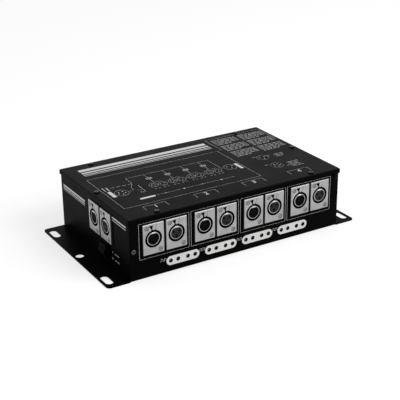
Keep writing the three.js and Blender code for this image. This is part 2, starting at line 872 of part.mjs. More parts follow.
function powerTransformer() {
  const core = block(
    -coreLength / 2, coreLength / 2, -coreDepth / 2, coreDepth / 2, strapThickness / 2, coreHeight,
  );
  const coilLow = (coreHeight - coilHeight) / 2;
  const coil = slab(
    roundedOutline(coilLength, coilDepth, coilCornerRadius), coilLow, coilLow + coilHeight,
  );
  const strap = block(
    -strapLength / 2, strapLength / 2, -strapDepth / 2, strapDepth / 2, 0, strapThickness,
  );
  return joined([core, coil, strap]);
}

// The case
addPiece("base_tray", baseTray(), paints.casePaint);
addPiece("left_end_panel", leftEndPanel(), paints.casePaint);
addPiece("right_end_panel", rightEndPanel(), paints.casePaint);
addPiece("lid", lidCover(), paints.topPaint);
for (const [name, [x, y]] of Object.entries(lidScrewPlaces())) {
  const place = new THREE.Vector3(x, y, caseHeight);
  addPiece(`lid_screw_${name}`, panHeadScrew(screwLength), paints.blackScrew, place);
}
addOnPanel(
  "wall_screw_left", panHeadScrew(screwLength), paints.blackScrew,
  panels.front, -wallScrewPlace, leftWallScrewHeight,
);
addOnPanel(
  "wall_screw_right", panHeadScrew(screwLength), paints.blackScrew,
  panels.front, wallScrewPlace, rightWallScrewHeight,
);

// Sockets: each is a housing, an insert with its contacts, and a push latch
const housing = socketHousing();
const latch = pushLatch();
const inserts = { five_pin: socketInsert(fivePin), three_pin: socketInsert(threePin) };
const insertPaints = { five_pin: paints.darkPlastic, three_pin: paints.greyPlastic };

function addSocket(name, kind, panel, across, height) {
  addOnPanel(`${name}_${kind}_housing`, housing, paints.plate, panel, across, height);
  addOnPanel(`${name}_${kind}_insert`, inserts[kind], insertPaints[kind], panel, across, height);
  addOnPanel(`${name}_${kind}_latch`, latch, paints.plate, panel, across, height);
}

for (const { number, middle } of channels) {
  const name = `output_${number}`;
  addSocket(name, "five_pin", panels.front, middle - pairSpacing / 2, socketHeight);
  addSocket(name, "three_pin", panels.front, middle + pairSpacing / 2, socketHeight);
}
addSocket("link", "five_pin", panels.left, endPairCentre - endPairSpacing / 2, endSocketHeight);
addSocket("link", "three_pin", panels.left, endPairCentre + endPairSpacing / 2, endSocketHeight);

// The input plugs on the right end
const pinInserts = { three_pin: pinInsert(threePin), five_pin: pinInsert(fivePin) };
for (const [kind, step] of [["three_pin", -1], ["five_pin", 1]]) {
  const across = -endPairCentre + step * endPairSpacing / 2;
  addOnPanel(`input_${kind}_housing`, plugHousing(), paints.plate, panels.right, across, endSocketHeight);
  addOnPanel(
    `input_${kind}_insert`, pinInserts[kind], paints.contact, panels.right, across, endSocketHeight,
  );
}

// Switches, mains inlet and fuse
for (const [name, panel, across] of [
  ["termination_switch", panels.left, terminationSwitchPlace],
  ["power_switch", panels.right, powerSwitchPlace],
]) {
  addOnPanel(`${name}_frame`, switchFrame(), paints.darkPlastic, panel, across, switchHeight);
  addOnPanel(`${name}_rocker`, switchRocker(), paints.darkPlastic, panel, across, switchHeight);
}
addOnPanel("mains_inlet", mainsInlet(), paints.darkPlastic, panels.right, inletPlace, inletHeight);
const drawerHeight = inletHeight - drawerDrop;
addOnPanel("fuse_drawer", fuseDrawer(), paints.darkPlastic, panels.right, inletPlace, drawerHeight);
addOnPanel("mains_fuse", cartridgeFuse(), paints.fuse, panels.right, inletPlace, drawerHeight);

// Electronics
addPiece("main_board", mainBoard(), paints.board);
for (const { number, lampMiddle } of channels) {
  addOnPanel(
    `lamp_block_${number}`, lampBlock(), paints.darkPlastic, panels.front, lampMiddle, lampHeight,
  );
}
const heatsinkY = boardBack - 2 * studInset - studRadius - heatsinkLength / 2;
addPiece(
  "regulator_heatsink", regulatorHeatsink(), paints.aluminium,
  new THREE.Vector3(0, heatsinkY, boardTop),
);
addPiece(
  "transformer", powerTransformer(), paints.core,
  new THREE.Vector3(transformerX, transformerY, traySheet),
);

export default splitter;
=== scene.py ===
# %% [markdown]
# # A four-way signal splitter, built in Blender around its CAD model
#
# The real object is a flat steel box for a lighting rig. One cable of control signal goes in, and four
# copies of it come out, each on a five-pin and a three-pin round socket. The CAD model already says
# where every part sits and how it moves, so this script never measures or fits: it loads that model as
# a fixed frame and gives each part its fine shape and finish. Sizes are in millimetres, and a shape is
# scaled to metres when it is set down.

import math

import bmesh
import bpy
from mathutils import Matrix, Vector


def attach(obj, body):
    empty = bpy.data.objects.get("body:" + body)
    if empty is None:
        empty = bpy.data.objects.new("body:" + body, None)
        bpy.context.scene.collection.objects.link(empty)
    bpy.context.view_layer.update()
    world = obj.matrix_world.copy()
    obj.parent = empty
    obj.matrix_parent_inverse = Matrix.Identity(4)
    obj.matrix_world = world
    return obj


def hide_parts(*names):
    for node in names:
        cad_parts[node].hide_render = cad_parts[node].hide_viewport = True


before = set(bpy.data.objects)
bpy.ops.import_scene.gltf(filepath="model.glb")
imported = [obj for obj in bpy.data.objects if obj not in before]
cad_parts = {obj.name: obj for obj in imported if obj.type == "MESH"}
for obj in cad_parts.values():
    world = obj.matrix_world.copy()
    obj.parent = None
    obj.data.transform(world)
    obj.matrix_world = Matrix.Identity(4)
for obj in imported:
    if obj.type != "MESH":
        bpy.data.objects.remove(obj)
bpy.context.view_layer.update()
scene = bpy.context.scene
scene.view_settings.view_transform = "Standard"
MM = 0.001


def stand(name, data):
    """Adds an object to the scene."""
    made = bpy.data.objects.new(name, data)
    scene.collection.objects.link(made)
    return made


# %% [markdown]
# ## The camera
#
# The camera stands in front, to the left and above, and rather far away with a long lens, which keeps
# the edges nearly parallel. A Track To constraint could aim it, but three written axes give exactly the
# same picture each time.

# %% Camera
CAMERA_PLACE = Vector((-0.55387, -0.92528, 0.4986))
CAMERA_RIGHT = Vector((0.85571, -0.51737, -0.00932))
CAMERA_UP = Vector((0.21259, 0.33508, 0.91789))
SENSOR_WIDTH = 36
FOCAL_LENGTH = 90.455

camera_data = bpy.data.cameras.new("camera")
camera_data.sensor_width = SENSOR_WIDTH
camera_data.lens = FOCAL_LENGTH
camera = stand("camera", camera_data)
back = CAMERA_RIGHT.cross(CAMERA_UP).normalized()
right = CAMERA_RIGHT.normalized()
axes = Matrix((right, back.cross(right), back)).transposed()
camera.matrix_world = Matrix.Translation(CAMERA_PLACE) @ axes.to_4x4()
scene.camera = camera
print("camera lens:", camera_data.lens, "mm")

# %% [markdown]
# ## Colours and shader nodes
#
# A colour is written as the hex value that the eye sees, which is sRGB, and one function turns it into
# the linear light of the shaders. Another adds any node with its settings and links, so a material
# reads as a short list of what it is made of.

# %% Helpers for materials
def linear(hex_colour):
    """An sRGB hex colour as linear red, green, blue and alpha."""
    shares = [int(hex_colour[i:i + 2], 16) / 255 for i in (1, 3, 5)]
    return tuple(c / 12.92 if c <= 0.04045 else ((c + 0.055) / 1.055) ** 2.4 for c in shares) + (1.0,)


def empty_tree(owner):
    owner.use_nodes = True
    owner.node_tree.nodes.clear()
    return owner.node_tree


def add(tree, kind, inputs=None, **settings):
    """Adds a node. An input is a number, a colour, or a node or one of its outputs to link."""
    node = tree.nodes.new("ShaderNode" + kind)
    for name, value in settings.items():
        setattr(node, name, value)
    for name, value in (inputs or {}).items():
        if isinstance(value, bpy.types.Node):
            value = value.outputs[0]
        if isinstance(value, bpy.types.NodeSocket):
            tree.links.new(value, node.inputs[name])
        else:
            node.inputs[name].default_value = value
    return node


print("white in linear light:", linear("#ffffff"))

# %% [markdown]
# ## The studio
#
# The background is pure white and the light soft. The world is plain white to the camera and in
# reflections, and a little weaker as a light. The floor is matt white card that glows slightly to the
# camera, which lifts it to paper white and leaves the object's soft shadow. Both use the Light Path
# node, so no extra light falls on the object.

# %% World, floor and lamp
WORLD_LIGHT = 0.6
FLOOR_GLOW = 0.58
FLOOR_SIZE = 12.0
FLOOR_DROP = 0.0001
KEY_PLACE = Vector((1.17, -1.64, 1.64))
KEY_POWER = 36
KEY_SIZE = 1.4


def seen_directly(tree):
    """1 where the camera, a mirror or glass looks, and 0 where light bounces off matt surfaces."""
    rays = add(tree, "LightPath").outputs
    mirror = add(tree, "Math", {
        0: rays["Is Camera Ray"], 1: rays["Is Glossy Ray"],
    }, operation="MAXIMUM")
    return add(tree, "Math", {0: mirror, 1: rays["Is Transmission Ray"]}, operation="MAXIMUM")


scene.world = bpy.data.worlds.new("studio")
sky = empty_tree(scene.world)
lighting = add(sky, "Background", {"Color": linear("#ffffff"), "Strength": WORLD_LIGHT})
backdrop = add(sky, "Background", {"Color": linear("#ffffff"), "Strength": 1.0})
either = add(sky, "MixShader", {0: seen_directly(sky), 1: lighting, 2: backdrop})
add(sky, "OutputWorld", {"Surface": either})

white_card = bpy.data.materials.new("matt_white_card")
card = empty_tree(white_card)
plain = add(card, "BsdfDiffuse", {"Color": linear("#e6e6e6")})
shaded = add(card, "BsdfDiffuse", {"Color": linear("#bebebe")})
glow = add(card, "Emission", {"Color": linear("#ffffff"), "Strength": FLOOR_GLOW})
lifted = add(card, "AddShader", {0: shaded, 1: glow})
seen = add(card, "MixShader", {0: seen_directly(card), 1: plain, 2: lifted})
add(card, "OutputMaterial", {"Surface": seen})

bpy.ops.mesh.primitive_plane_add(size=FLOOR_SIZE, location=(0, 0, -FLOOR_DROP))
floor = bpy.context.object
floor.name = "floor"
floor.data.materials.append(white_card)

key_data = bpy.data.lights.new("softbox", "AREA")
key_data.energy = KEY_POWER
key_data.size = KEY_SIZE
key = stand("softbox", key_data)
key.location = KEY_PLACE
key.rotation_euler = KEY_PLACE.to_track_quat("Z", "Y").to_euler()
key.visible_camera = False
print("studio ready")

# %% [markdown]
# ## Finishes
#
# Most surfaces share one recipe: a base colour and a roughness that drift a little, and a fine grain
# that bends the light through a Bump node. What tells them apart is the size of the grain, which comes
# from the real process, and the numbers. So one function holds the recipe, and each finish is one call.
# Patterns use Object coordinates, in metres, so a grain of 1 mm has a scale of 1000.

# %% The recipe for a surface with grain
GRAIN_SHARE = 0.65
SUM_LOW = 0.55
SUM_HIGH = 1.1


def finish(
    name, dark, light, roughness, grain, relief, drift=0.04, metal=0.0, specular=0.5, clear=0.0,
    stretch=(1, 1, 1), beyond=None,
):
    """A shader whose colour runs from dark to light, with grain and relief in mm and drift in m.

    With beyond, as (axis, middle, reach, dark, light), the part of the object that lies further than
    reach from middle along that axis has a second pair of colours. Middle and reach are in mm.
    """
    material = bpy.data.materials.new(name)
    tree = empty_tree(material)
    place = add(tree, "TexCoord").outputs["Object"]
    turned_to = add(tree, "Mapping", {"Vector": place, "Scale": stretch})
    fine = add(tree, "TexNoise", {
        "Vector": turned_to, "Scale": 1 / (grain * MM), "Detail": 3.0, "Roughness": 0.6,
    })
    broad = add(tree, "TexNoise", {"Vector": place, "Scale": 1 / drift, "Detail": 2.0})
    both = add(tree, "Math", {0: fine, 1: GRAIN_SHARE, 2: broad}, operation="MULTIPLY_ADD")
    share = add(tree, "MapRange", {"Value": both, "From Min": SUM_LOW, "From Max": SUM_HIGH})

    def blend(factor, low, high):
        return add(tree, "Mix", {0: factor, 6: low, 7: high}, data_type="RGBA").outputs[2]

    colour = blend(share, linear(dark), linear(light))
    if beyond:
        axis, middle, reach, other_dark, other_light = beyond
        split = add(tree, "SeparateXYZ", {0: place})
        away = add(tree, "Math", {0: split.outputs[axis], 1: middle * MM}, operation="SUBTRACT")
        distance = add(tree, "Math", {0: away}, operation="ABSOLUTE")
        past = add(tree, "Math", {0: distance, 1: reach * MM}, operation="GREATER_THAN")
        other = blend(share, linear(other_dark), linear(other_light))
        colour = blend(past, colour, other)
    low, high = roughness
    gloss = add(tree, "MapRange", {"Value": share, "To Min": low, "To Max": high})
    bump = add(tree, "Bump", {"Height": fine, "Strength": 1.0, "Distance": relief * MM})
    surface = add(tree, "BsdfPrincipled", {
        "Base Color": colour, "Roughness": gloss, "Normal": bump, "Metallic": metal,
        "Specular IOR Level": specular, "Transmission Weight": clear,
    })
    add(tree, "OutputMaterial", {"Surface": surface})
    return material


print("a share of 0 to 1 comes from noise sums of", SUM_LOW, "to", SUM_HIGH)

# %% [markdown]
# ## Which finishes the object has
#
# The case is powder coated: paint powder is sprayed on steel and melted in an oven, which leaves a fine
# orange peel and almost no shine. The lid gets a lighter copy of the coat, as painted light, and the
# case a darker one, as painted shade. The sockets are die-cast zinc with satin nickel, contacts and
# blades bright nickel, switches and inserts moulded nylon, the switches' in a darker copy as painted
# shade, the case screws steel under black zinc, the right wall screw's in a near-black copy as painted
# shade, and the white marks screen-printed ink. Where light gets lost in a gap, the walls are plain
# black as painted shade, because that is what the eye sees there.

# %% Make the finishes
# Powder coat has grains of about 0.3 mm. They are drawn three times as coarse, so that they still show.
# The lid and the case are one powder coat in two copies: the lid's lighter and shinier, as painted
# light, and the case's darker and duller, as painted shade.
lid_paint = finish(
    "black_powder_coat_lid_painted_light", "#020203", "#060607", (0.4, 0.52), 0.9, 0.02, specular=0.033,
)
case_paint = finish(
    "black_powder_coat_case_painted_shade", "#020202", "#040404", (0.38, 0.5), 0.9, 0.02, specular=0.018,
)
# Satin nickel over a cast and tumbled surface: soft reflections with a faint pitting.
satin_nickel = finish(
    "satin_nickel_plate", "#989798", "#b1b0b1", (0.3, 0.44), 0.5, 0.008, drift=0.012, metal=1.0,
)
# The rim of the ring inside each socket is polished by the plugs that rub on it, which makes it
# smoother; its lighter colour is a painted highlight.
polished_nickel = finish(
    "polished_nickel_rim_painted_highlight", "#b4b3b4", "#cbcacb", (0.16, 0.26), 0.5, 0.003, drift=0.006, metal=1.0,
)
bright_nickel = finish(
    "bright_nickel_contact", "#bdb9b0", "#d2cec4", (0.14, 0.24), 0.3, 0.002, drift=0.006, metal=1.0,
)
# Glass-filled nylon: dull, with the faint mottle of the glass fibres.
black_nylon = finish(
    "black_glass_filled_nylon", "#040404", "#090909", (0.45, 0.6), 0.4, 0.006, specular=0.03,
)
grey_nylon = finish(
    "grey_glass_filled_nylon", "#1a1a1c", "#272729", (0.45, 0.6), 0.4, 0.006, specular=0.1,
)
# The switches' nylon is a darker, nearly shineless copy of black nylon: painted shade.
switch_nylon = finish(
    "black_switch_nylon_painted_shade", "#040404", "#080809", (0.34, 0.46), 0.25, 0.004, specular=0.012,
)
# The mains inlet is moulded from plain black nylon, lighter and glossier than the switches' darker
# copy.
inlet_nylon = finish(
    "black_moulded_inlet_nylon", "#0b0b0c", "#121213", (0.3, 0.42), 0.25, 0.004, specular=0.14,
)
# Black zinc: metal under a thin dark skin, so it mirrors the room faintly.
black_zinc = finish(
    "black_zinc_plated_steel", "#454547", "#67676a", (0.16, 0.26), 0.2, 0.003, drift=0.003, metal=1.0,
)
# The right wall screw is the same screw as the left, in a near-black copy of its finish as painted
# shade: nearly black from in front, with a thin rim of light.
painted_shade_screw_finish = finish(
    "black_zinc_painted_shade", "#030303", "#070708", (0.12, 0.2), 0.2, 0.002, drift=0.003, specular=0.07,
)
# Painted shade: plain black for the walls of deep grooves, slots and recesses, which no light leaves
# again.
painted_shade_black = finish(
    "black_painted_shade", "#010101", "#030303", (0.5, 0.6), 0.2, 0.002, specular=0.0,
)
# Painted shade: the left and right edges of each socket plate get a darker copy of the nickel.
painted_shade_edge = finish(
    "painted_shade_plate_edge", "#2c2c2d", "#474748", (0.4, 0.52), 0.5, 0.01, drift=0.01, metal=1.0,
)
nickel_screw = finish(
    "nickel_plated_screw", "#848384", "#9c9b9c", (0.25, 0.36), 0.2, 0.003, drift=0.003, metal=1.0,
)
# Screen ink is thin and slightly uneven, because it is pressed through a woven mesh.
white_ink = finish(
    "white_screen_ink", "#cacac8", "#d8d8d6", (0.5, 0.6), 0.35, 0.004, drift=0.01, specular=0.3,
)
clear_lens = finish(
    "clear_epoxy_lamp", "#2c2c2c", "#464645", (0.06, 0.12), 0.4, 0.0, drift=0.002,
)
smoked_lens = finish(
    "smoked_epoxy_lamp", "#0c0c0d", "#18181a", (0.06, 0.12), 0.4, 0.0, drift=0.002,
)
glass = finish(
    "fuse_glass", "#e8eceb", "#f4f7f6", (0.02, 0.05), 0.5, 0.0, clear=0.9,
)
# The board's own sheet is green, and the parts that stand above it are dark epoxy and plastic.
green_board = finish(
    "green_solder_mask", "#0d3a20", "#165a32", (0.3, 0.45), 0.6, 0.01, drift=0.01,
    beyond=("Z", 0, 9.62, "#141416", "#232327"),
)
# Extruded aluminium has drawn lines along its length, so its grain is stretched that way.
extruded_aluminium = finish(
    "extruded_aluminium", "#9a9c9e", "#bfc1c3", (0.28, 0.42), 0.4, 0.006, metal=1.0,
    stretch=(1, 0.06, 1),
)
# A transformer core is a stack of steel sheets half a millimetre thick, seen edge on. The coil, which
# stands out on both sides of it, is wound with yellow tape.
laminated_steel = finish(
    "laminated_core_steel", "#3c3a37", "#7a766f", (0.45, 0.62), 0.6, 0.02, stretch=(0.03, 1, 0.03),
    beyond=("Y", 47.2, 11.05, "#8a6a1c", "#b08a2e"), metal=0.35,
)
print("finishes:", len(bpy.data.materials))

# %% [markdown]
# ## Where shapes are set down
#
# A socket, a switch or a print is drawn once, face up: x to the right, y up and z out of the panel. A
# panel is one matrix that turns those axes to the front, an end or the lid, moves them to its skin and
# scales to metres. That is safer than turning finished objects by hand, and one drawing serves all
# sides.

# %% Panels
WALL_X = 136.2
WALL_Y = 84.7
LID_TOP = 72.0


def panel(across, up, out, origin):
    turn = Matrix((across, up, out)).transposed().to_4x4()
    return Matrix.Scale(MM, 4) @ Matrix.Translation(origin) @ turn


FRONT = panel((1, 0, 0), (0, 0, 1), (0, -1, 0), (0, -WALL_Y, 0))
LEFT = panel((0, -1, 0), (0, 0, 1), (-1, 0, 0), (-WALL_X, 0, 0))
RIGHT = panel((0, 1, 0), (0, 0, 1), (1, 0, 0), (WALL_X, 0, 0))
TOP = panel((1, 0, 0), (0, 1, 0), (0, 0, 1), (0, 0, LID_TOP))
CASE_AXES = panel((1, 0, 0), (0, 1, 0), (0, 0, 1), (0, 0, 0))


def at(x, y, z=0.0):
    return Matrix.Translation((x, y, z))


print("front panel skin at y =", round(FRONT.translation.y, 4))

# %% [markdown]
# ## Shapes from operators
#
# Nearly every part is sawn from a plate or turned on a lathe. A plate is one face with rounded corners,
# extruded. A turned part starts as half of its section, a row of edges, spun once round the axis. Holes
# are cut with a Boolean modifier, as a drill or a punch would, and sharp edges are eased with a small
# bevel, because a real edge always catches a thin line of light.

# %% Plates and turned parts
ROUND_SIDES = 48
NEAR = 0.01
HAIR = 0.001
SAME_POINT = 1e-4
SAME_AFTER_CUT = 0.002


def rectangle(width, height, x=0.0, y=0.0):
    left, low = x - width / 2, y - height / 2
    return [(left, low), (left + width, low), (left + width, low + height), (left, low + height)]


def merged(bm, distance=SAME_POINT):
    bmesh.ops.remove_doubles(bm, verts=bm.verts[:], dist=distance)
    return bm


def outward(bm):
    bmesh.ops.recalc_face_normals(bm, faces=bm.faces[:])
    return bm


def moved(bm, place):
    bm.transform(place)
    return bm


def only(geom, kind):
    return [element for element in geom if isinstance(element, kind)]


def round_off(bm, geom, width, steps, affect="EDGES", clamp=False):
    """A round bevel along edges, or at corners with affect VERTICES."""
    bmesh.ops.bevel(
        bm, geom=geom, offset=width, segments=steps, profile=0.5, affect=affect, material=-1,
        clamp_overlap=clamp,
    )


def plate(points, low, high, corner=0.0, steps=5):
    """A flat shape with rounded corners, from one height to another."""
    bm = bmesh.new()
    corners = [bm.verts.new((x, y, low)) for x, y in points]
    bm.faces.new(corners)
    if corner:
        round_off(bm, corners, corner, steps, "VERTICES", clamp=True)
        merged(bm)
    raised = bmesh.ops.extrude_face_region(bm, geom=bm.faces[:], use_keep_orig=True)
    bmesh.ops.translate(bm, verts=only(raised["geom"], bmesh.types.BMVert), vec=(0, 0, high - low))
    return outward(bm)


def turned(section, sides=ROUND_SIDES, x=0.0, y=0.0):
    """Half a section, as (radius, height) points, spun once round the out axis."""
    bm = bmesh.new()
    points = [bm.verts.new((radius, 0, height)) for radius, height in section]
    edges = [bm.edges.new(pair) for pair in zip(points, points[1:])]
    bmesh.ops.spin(
        bm, geom=points + edges, cent=(0, 0, 0), axis=(0, 0, 1), angle=math.tau, steps=sides,
        use_merge=True,
    )
    return moved(outward(merged(bm)), at(x, y))


def to_mesh(bm):
    mesh = bpy.data.meshes.new("shape")
    bm.to_mesh(mesh)
    bm.free()
    return mesh


def to_bmesh(mesh):
    bm = bmesh.new()
    bm.from_mesh(mesh)
    bpy.data.meshes.remove(mesh)
    return bm


def together(*shapes):
    """Several shapes as one mesh, each still closed in itself."""
    whole = bmesh.new()
    for shape in shapes:
        mesh = to_mesh(shape)
        whole.from_mesh(mesh)
        bpy.data.meshes.remove(mesh)
    return whole


def repeated(shape, places):
    """One shape, set down at each place, as one mesh."""
    return together(*[moved(shape.copy(), place) for place in places])


print("a round part has", ROUND_SIDES, "sides, unless it says otherwise")

# %% Cuts and eased edges
SHARP = math.radians(35)


def baked(helper):
    """What an object looks like, as a mesh of its own. The object is removed."""
    evaluated = helper.evaluated_get(bpy.context.evaluated_depsgraph_get())
    mesh = bpy.data.meshes.new_from_object(evaluated)
    bpy.data.objects.remove(helper)
    return mesh


def worked(mesh, kind, **settings):
    """The mesh after one modifier, with the modifier applied."""
    helper = stand("helper", mesh)
    modifier = helper.modifiers.new("step", kind)
    for name, value in settings.items():
        setattr(modifier, name, value)
    result = baked(helper)
    bpy.data.meshes.remove(mesh)
    return result


def carve(bm, *cutters, operation="DIFFERENCE"):
    """Cuts each cutter from the shape in turn, or joins it on with operation UNION."""
    mesh = to_mesh(bm)
    for cutter in cutters:
        tool = stand("cutter", to_mesh(cutter))
        mesh = worked(mesh, "BOOLEAN", object=tool, operation=operation, solver="EXACT")
        bpy.data.meshes.remove(tool.data)
    return merged(to_bmesh(mesh), SAME_AFTER_CUT)


def ease(bm, width, steps=2, where=None):
    """Bevels the sharp edges, or those of them that where() picks."""
    sharp = [
        e for e in bm.edges
        if e.is_manifold and e.calc_face_angle() > SHARP and (where is None or where(e))
    ]
    round_off(bm, sharp, width, steps, clamp=True)
    return bm


def above(height):
    """Picks edges that lie wholly at or above a height."""
    return lambda edge: all(v.co.z > height for v in edge.verts)


print("sharp from", round(math.degrees(SHARP)), "degrees")

# %% [markdown]
# ## Setting a piece down
#
# A piece is a finished mesh with its place in its vertices and its object at the origin, as the CAD
# parts are. It is smooth shaded up to 35 degrees, and the Weighted Normal modifier lets the large flat
# faces decide the shading, so that an eased edge doesn't spoil the flat beside it. The piece rides on a
# CAD body and hides the plain CAD parts it stands for.

# %% Patterns and pieces
pieces_made = []


def pattern(bm, *materials):
    """A shape made ready for use: shaded, and with its materials."""
    mesh = to_mesh(bm)
    for material in materials:
        mesh.materials.append(material)
    mesh.shade_smooth()
    mesh.set_sharp_from_angle(angle=SHARP)
    return worked(mesh, "WEIGHTED_NORMAL", keep_sharp=True)


def piece(name, shape, place, body="case", nodes=(), slot=None):
    """A copy of a pattern at its place, riding on a body."""
    mesh = shape.copy()
    mesh.name = name
    mesh.transform(place)
    made = stand(name, mesh)
    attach(made, body)
    if nodes:
        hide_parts(*nodes)
    pieces_made.append(made)
    return made


def tinted(bm, chosen, index=1):
    """Gives the faces that chosen(middle, normal) picks another of the pattern's finishes."""
    for face in bm.faces:
        if chosen(face.calc_center_median(), face.normal):
            face.material_index = index
    return bm


print("ready to make pieces")

# %% [markdown]
# ## The folded tray
#
# The body of the case is one steel sheet 1.5 mm thick. Its floor reaches past the ends as two ears, and
# its front and back are folded up and then in. It could be a box with a modifier, but it is made as the
# shop makes it: a line round the section gets round bends, is pulled out to the length of the case, and
# is thickened inwards. The ears are plates joined on.

# %% Fold the tray
SHEET = 1.5
WALL_TOP = 71.0
BEND = 2.0
BEND_STEPS = 6
FLANGE = 10.0


def thickened(bm, sheet):
    """Gives an open skin its sheet thickness on the inner side."""
    skin = to_mesh(outward(bm))
    return to_bmesh(worked(skin, "SOLIDIFY", thickness=sheet, offset=-1.0, use_even_offset=True))


skin = bmesh.new()
section = [
    (FLANGE - WALL_Y, WALL_TOP), (-WALL_Y, WALL_TOP), (-WALL_Y, 0),
    (WALL_Y, 0), (WALL_Y, WALL_TOP), (WALL_Y - FLANGE, WALL_TOP),
]
line = [skin.verts.new((-WALL_X, y, z)) for y, z in section]
for pair in zip(line, line[1:]):
    skin.edges.new(pair)
round_off(skin, line[1:-1], BEND, BEND_STEPS, "VERTICES")
pulled = bmesh.ops.extrude_edge_only(skin, edges=skin.edges[:])
bmesh.ops.translate(skin, verts=only(pulled["geom"], bmesh.types.BMVert), vec=(2 * WALL_X, 0, 0))
tray = thickened(skin, SHEET)
print("tray reach in y:", max(v.co.y for v in tray.verts))

# %% [markdown]
# ### Ears, and every hole in the sheet
#
# An ear gets its two slots and round hole, and its outer edges are eased, before it is joined on. The
# front is punched at once: round holes with a notch for each latch, sixteen lamp holes, and two for the
# wall screws. Cutters that don't touch each other can be one mesh, so it is a single quick cut.

# %% Cut the ears
EAR_END = 163.0
EAR_CORNER = 4.5
EAR_HOLE = 5.0
EAR_HOLE_X = 155.7
EAR_SLOT = (9.0, 21.0)
EAR_SLOT_Y = 67.5
THROUGH_EAR = (-1, 3)


def drill(radius, low, high, x=0.0, y=0.0, sides=32):
    """A plain cylinder, which cuts a round hole."""
    return turned([(0, low), (radius, low), (radius, high), (0, high)], sides, x, y)


def ear(side):
    root, end = side * WALL_X, side * EAR_END
    shape = plate(rectangle(abs(end - root), 2 * WALL_Y, (root + end) / 2), 0, SHEET)
    corners = [
        e for e in shape.edges
        if all(abs(v.co.x - end) < NEAR for v in e.verts)
        and abs(e.verts[0].co.z - e.verts[1].co.z) > NEAR
    ]
    round_off(shape, corners, EAR_CORNER, 8)
    holes = [drill(EAR_HOLE, *THROUGH_EAR, side * EAR_HOLE_X)]
    for end_y in (-EAR_SLOT_Y, EAR_SLOT_Y):
        slot_points = rectangle(*EAR_SLOT, side * EAR_HOLE_X, end_y)
        holes.append(plate(slot_points, *THROUGH_EAR, corner=EAR_SLOT[0] / 2 - HAIR, steps=10))
    shape = carve(shape, together(*holes))
    return ease(shape, 0.2, where=lambda edge: any(abs(v.co.x - root) > 0.5 for v in edge.verts))


for side in (-1, 1):
    tray = carve(tray, ear(side), operation="UNION")
print("faces with both ears:", len(tray.faces))

# %% Punch the front
PAIR_MIDDLES = [-94.5, -31.5, 31.5, 94.5]
PAIR_HALF = 13.9
SOCKET_Z = 45.2
BARREL_HOLE = 12.0
LATCH_NOTCH = rectangle(8.7, 16.2, 0, 8.1)
LAMP_MIDDLES = [-72.15, -24.05, 24.05, 72.15]
LAMP_OFFSETS = [-15.1, -6.05, 6.05, 15.1]
LAMP_Z = 13.25
LAMP_HOLE = 2.15
WALL_SCREWS = [(-131.8, 35.0), (131.8, 62.7)]
SCREW_HOLE = 1.7
THROUGH_WALL = (-4, 2)

socket_hole = carve(
    drill(BARREL_HOLE, *THROUGH_WALL), plate(LATCH_NOTCH, *THROUGH_WALL), operation="UNION",
)
socket_xs = [middle + half for middle in PAIR_MIDDLES for half in (-PAIR_HALF, PAIR_HALF)]
holes = [repeated(socket_hole, [at(x, SOCKET_Z) for x in socket_xs])]
for middle in LAMP_MIDDLES:
    holes += [drill(LAMP_HOLE, *THROUGH_WALL, middle + offset, LAMP_Z) for offset in LAMP_OFFSETS]
holes += [drill(SCREW_HOLE, *THROUGH_WALL, x, z, 16) for x, z in WALL_SCREWS]
tray = carve(tray, moved(together(*holes), Matrix.Scale(1 / MM, 4) @ FRONT))
print("holes in the front:", len(socket_xs) + len(LAMP_MIDDLES) * len(LAMP_OFFSETS) + len(WALL_SCREWS))

# %% Finish the tray
END_CUT = (3.0, 8.6)
END_CUT_X = 136.0
END_CUT_Y = 78.5
FLANGE_ZONE = (69, 72)
STUD_X = (-107, -7.5, 92)
STUD_Y = (-61.7, 5.2)

# The two folded-in flanges stop a little short of the end panels.
flange_ends = [
    plate(rectangle(*END_CUT, side * END_CUT_X, end * END_CUT_Y), *FLANGE_ZONE)
    for side in (-1, 1) for end in (-1, 1)
]
tray = carve(tray, together(*flange_ends))
# The upright ends of the front and back walls are rounded over, where the folded corner shows.
ease(tray, 0.4, steps=3, where=lambda edge: all(
    abs(abs(v.co.x) - WALL_X) < NEAR and abs(abs(v.co.y) - WALL_Y) < NEAR for v in edge.verts
))
# Six studs pressed into the floor carry the board.
stud = turned([
    (0, 0.75), (3.0, 0.75), (3.0, 7.8), (2.8, 8.0), (1.5, 8.0), (1.5, 11.3), (1.2, 11.6), (0, 11.6),
], 24)
tray = together(tray, repeated(stud, [at(x, y) for x in STUD_X for y in STUD_Y]))
piece("folded_tray", pattern(tray, case_paint), CASE_AXES, nodes=["base_tray"], slot="case_paint")
print("tray faces:", len(pieces_made[-1].data.polygons))

# %% [markdown]
# ## The lid and the end panels
#
# The lid is a shallow pan of 1 mm sheet. Its sides are folded down, so its top edges are round, and the
# corners, where two folds meet and are ground, stay nearly sharp. It starts as a box with no floor,
# whose top edges are bevelled to the bend radius, and is thickened inwards. The end panels are flat
# sheet where they show, so the CAD parts stay and only get the right paint.

# %% Press the lid
LID_LENGTH = 275.0
LID_DEPTH = 171.99
LID_LOW = 66.5
LID_SHEET = 1.0
LID_FOLD = 1.2
LID_CORNER = 0.5
THROUGH_LID = (68, 74)
LID_SCREWS = {
    "front_left": (-100.0, -79.7), "front_right": (100.0, -79.7),
    "back_left": (-100.0, 79.7), "back_right": (100.0, 79.7),
    "left": (-131.2, 0.0), "right": (131.2, 0.0),
}

